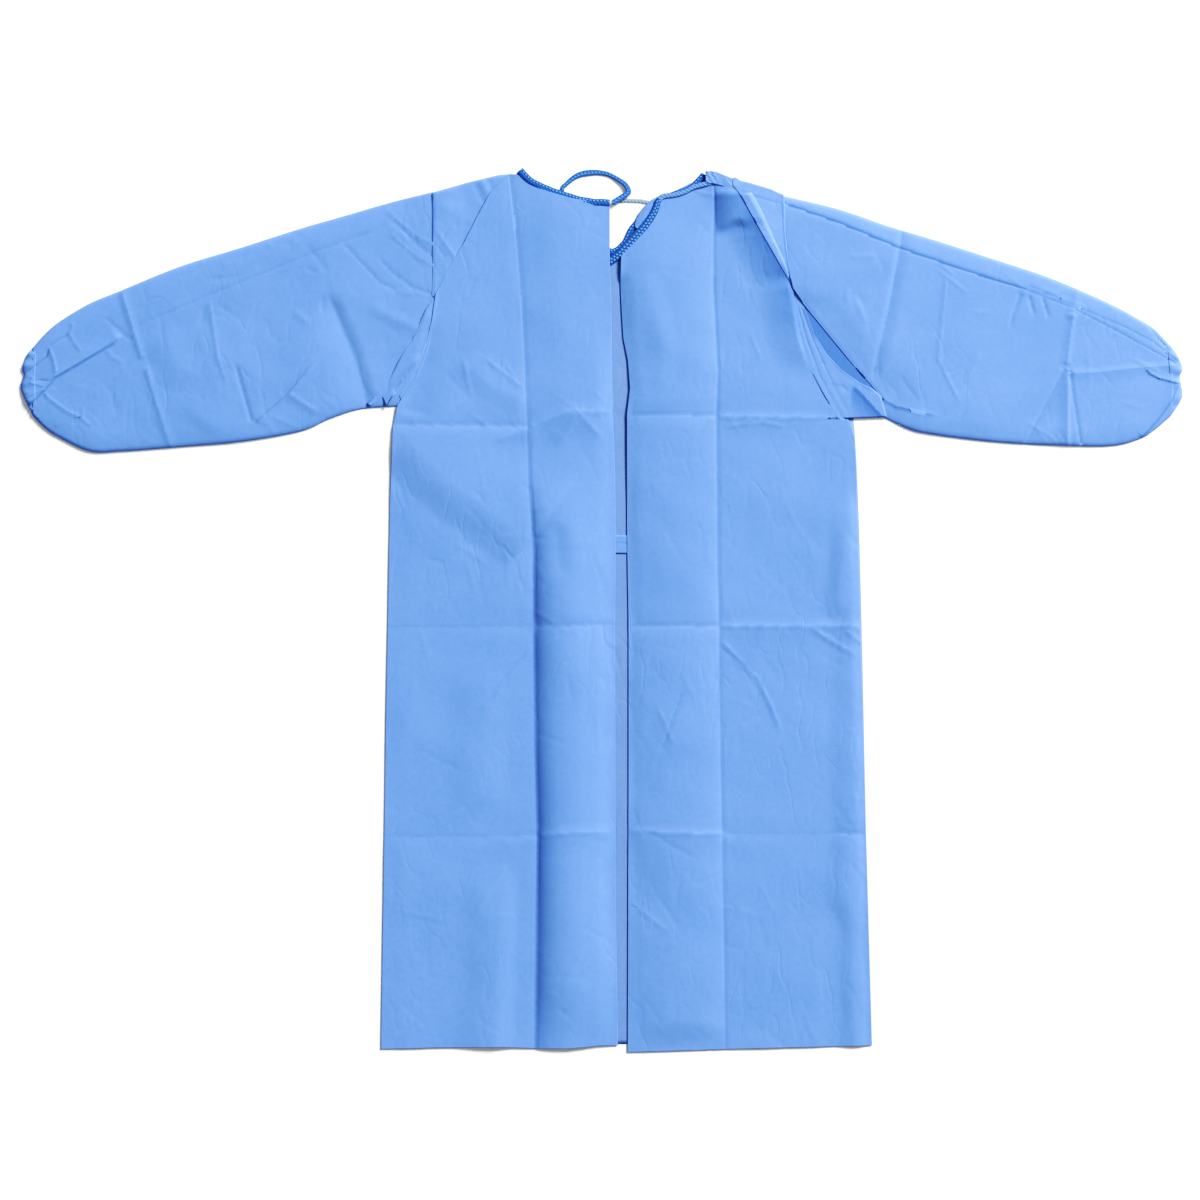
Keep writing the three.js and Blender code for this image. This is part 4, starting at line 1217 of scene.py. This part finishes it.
edge_binding = stitched(
    "edge_binding", BINDING_BLUE, BLUE, THREAD_BLUE, [(0.4, 0.0)], [-0.8, 0.1, 0.75]
)
slope_binding = stitched(
    "slope_binding", BINDING_BLUE, BLUE, THREAD_BLUE, [(-0.2, 0.0), (0.45, 0.4)],
    [-0.85, -0.45, 0.15, 0.8], 74.0,
)
tape(
    "neck_binding_front_cloth",
    [
        (-128, -2), (-78, -31), (-36, -66), (-18, -95), (0, -108), (18, -95), (32, -71), (72, -36),
        (104, -24), (117, -12), (124, -3),
    ],
    9, 1.3, edge_binding, "neck_binding_front",
)
tape(
    "neck_binding_left_cloth",
    [(-124, 2), (-108, -13.5), (-86, -24), (-73, -29), (-40, -39), (-3, -42.5)],
    9.5, 4.1, edge_binding, "neck_binding_left", widths=[1, 0.9, 1, 1.05, 0.95, 0.95],
)
tape(
    "neck_binding_right_cloth",
    [
        (134, -14.5), (113, -20), (98, -27), (82, -32), (69, -34), (62.5, -40), (60, -47), (55, -58),
        (46, -71.5), (33, -86.5), (20, -100), (9, -111), (-4, -121), (-12, -127),
    ],
    9.5, 5.0, slope_binding, "neck_binding_right", rise=[0, 0, 0, 0, -0.6, -1.4, -3.4],
    widths=[0.7, 0.65, 0.6, 0.7, 0.9, 1.1, 1.25, 1.3, 1.15, 1.1],
)


# ---- Neck ties ------------------------------------------------------------------------------
# The bindings' free ends: the left one turns up from the neck corner in a loop, the right one is
# thin and lies across inside the neck.

# The right tie's grey is its paler other face, darkened with painted shade where it lies inside the neck.
TIE_GREY_IN_SHADE = (0.25, 0.33, 0.44)
TIE_BLUE = (0.042, 0.130, 0.400)
tie_blue = stitched(
    "tie_blue", TIE_BLUE, BLUE, THREAD_BLUE, [(0.1, 0.0)], [-0.7, 0.7], 0.0, 0.12
)
tie_grey_in_shade = cloth_finish("tie_grey_in_shade", TIE_GREY_IN_SHADE, 1.0, 0.75)
tape(
    "neck_tie_left_cloth",
    [
        (1, -43), (12, -35), (22, -29), (21, -22), (14, -14), (-4, -4), (-24, -1), (-45, -4),
        (-61, -16), (-67, -25), (-66, -60),
    ],
    7.5, 1.2, tie_blue, "neck_tie_left", rise=[2.8, 2.4, 1.8, 0.4, 0, 0, 0, 0.4, 0.6, 0.8],
    widths=[1, 1, 0.9, 0.75, 0.9, 1.1, 0.9, 0.7, 0.65, 0.8],
)
tape(
    "neck_tie_right_cloth",
    [(2, -40), (20, -38.5), (39, -39.5), (51, -42)],
    5.2, 0.8, tie_grey_in_shade, "neck_tie_right", dome=0.3,
)
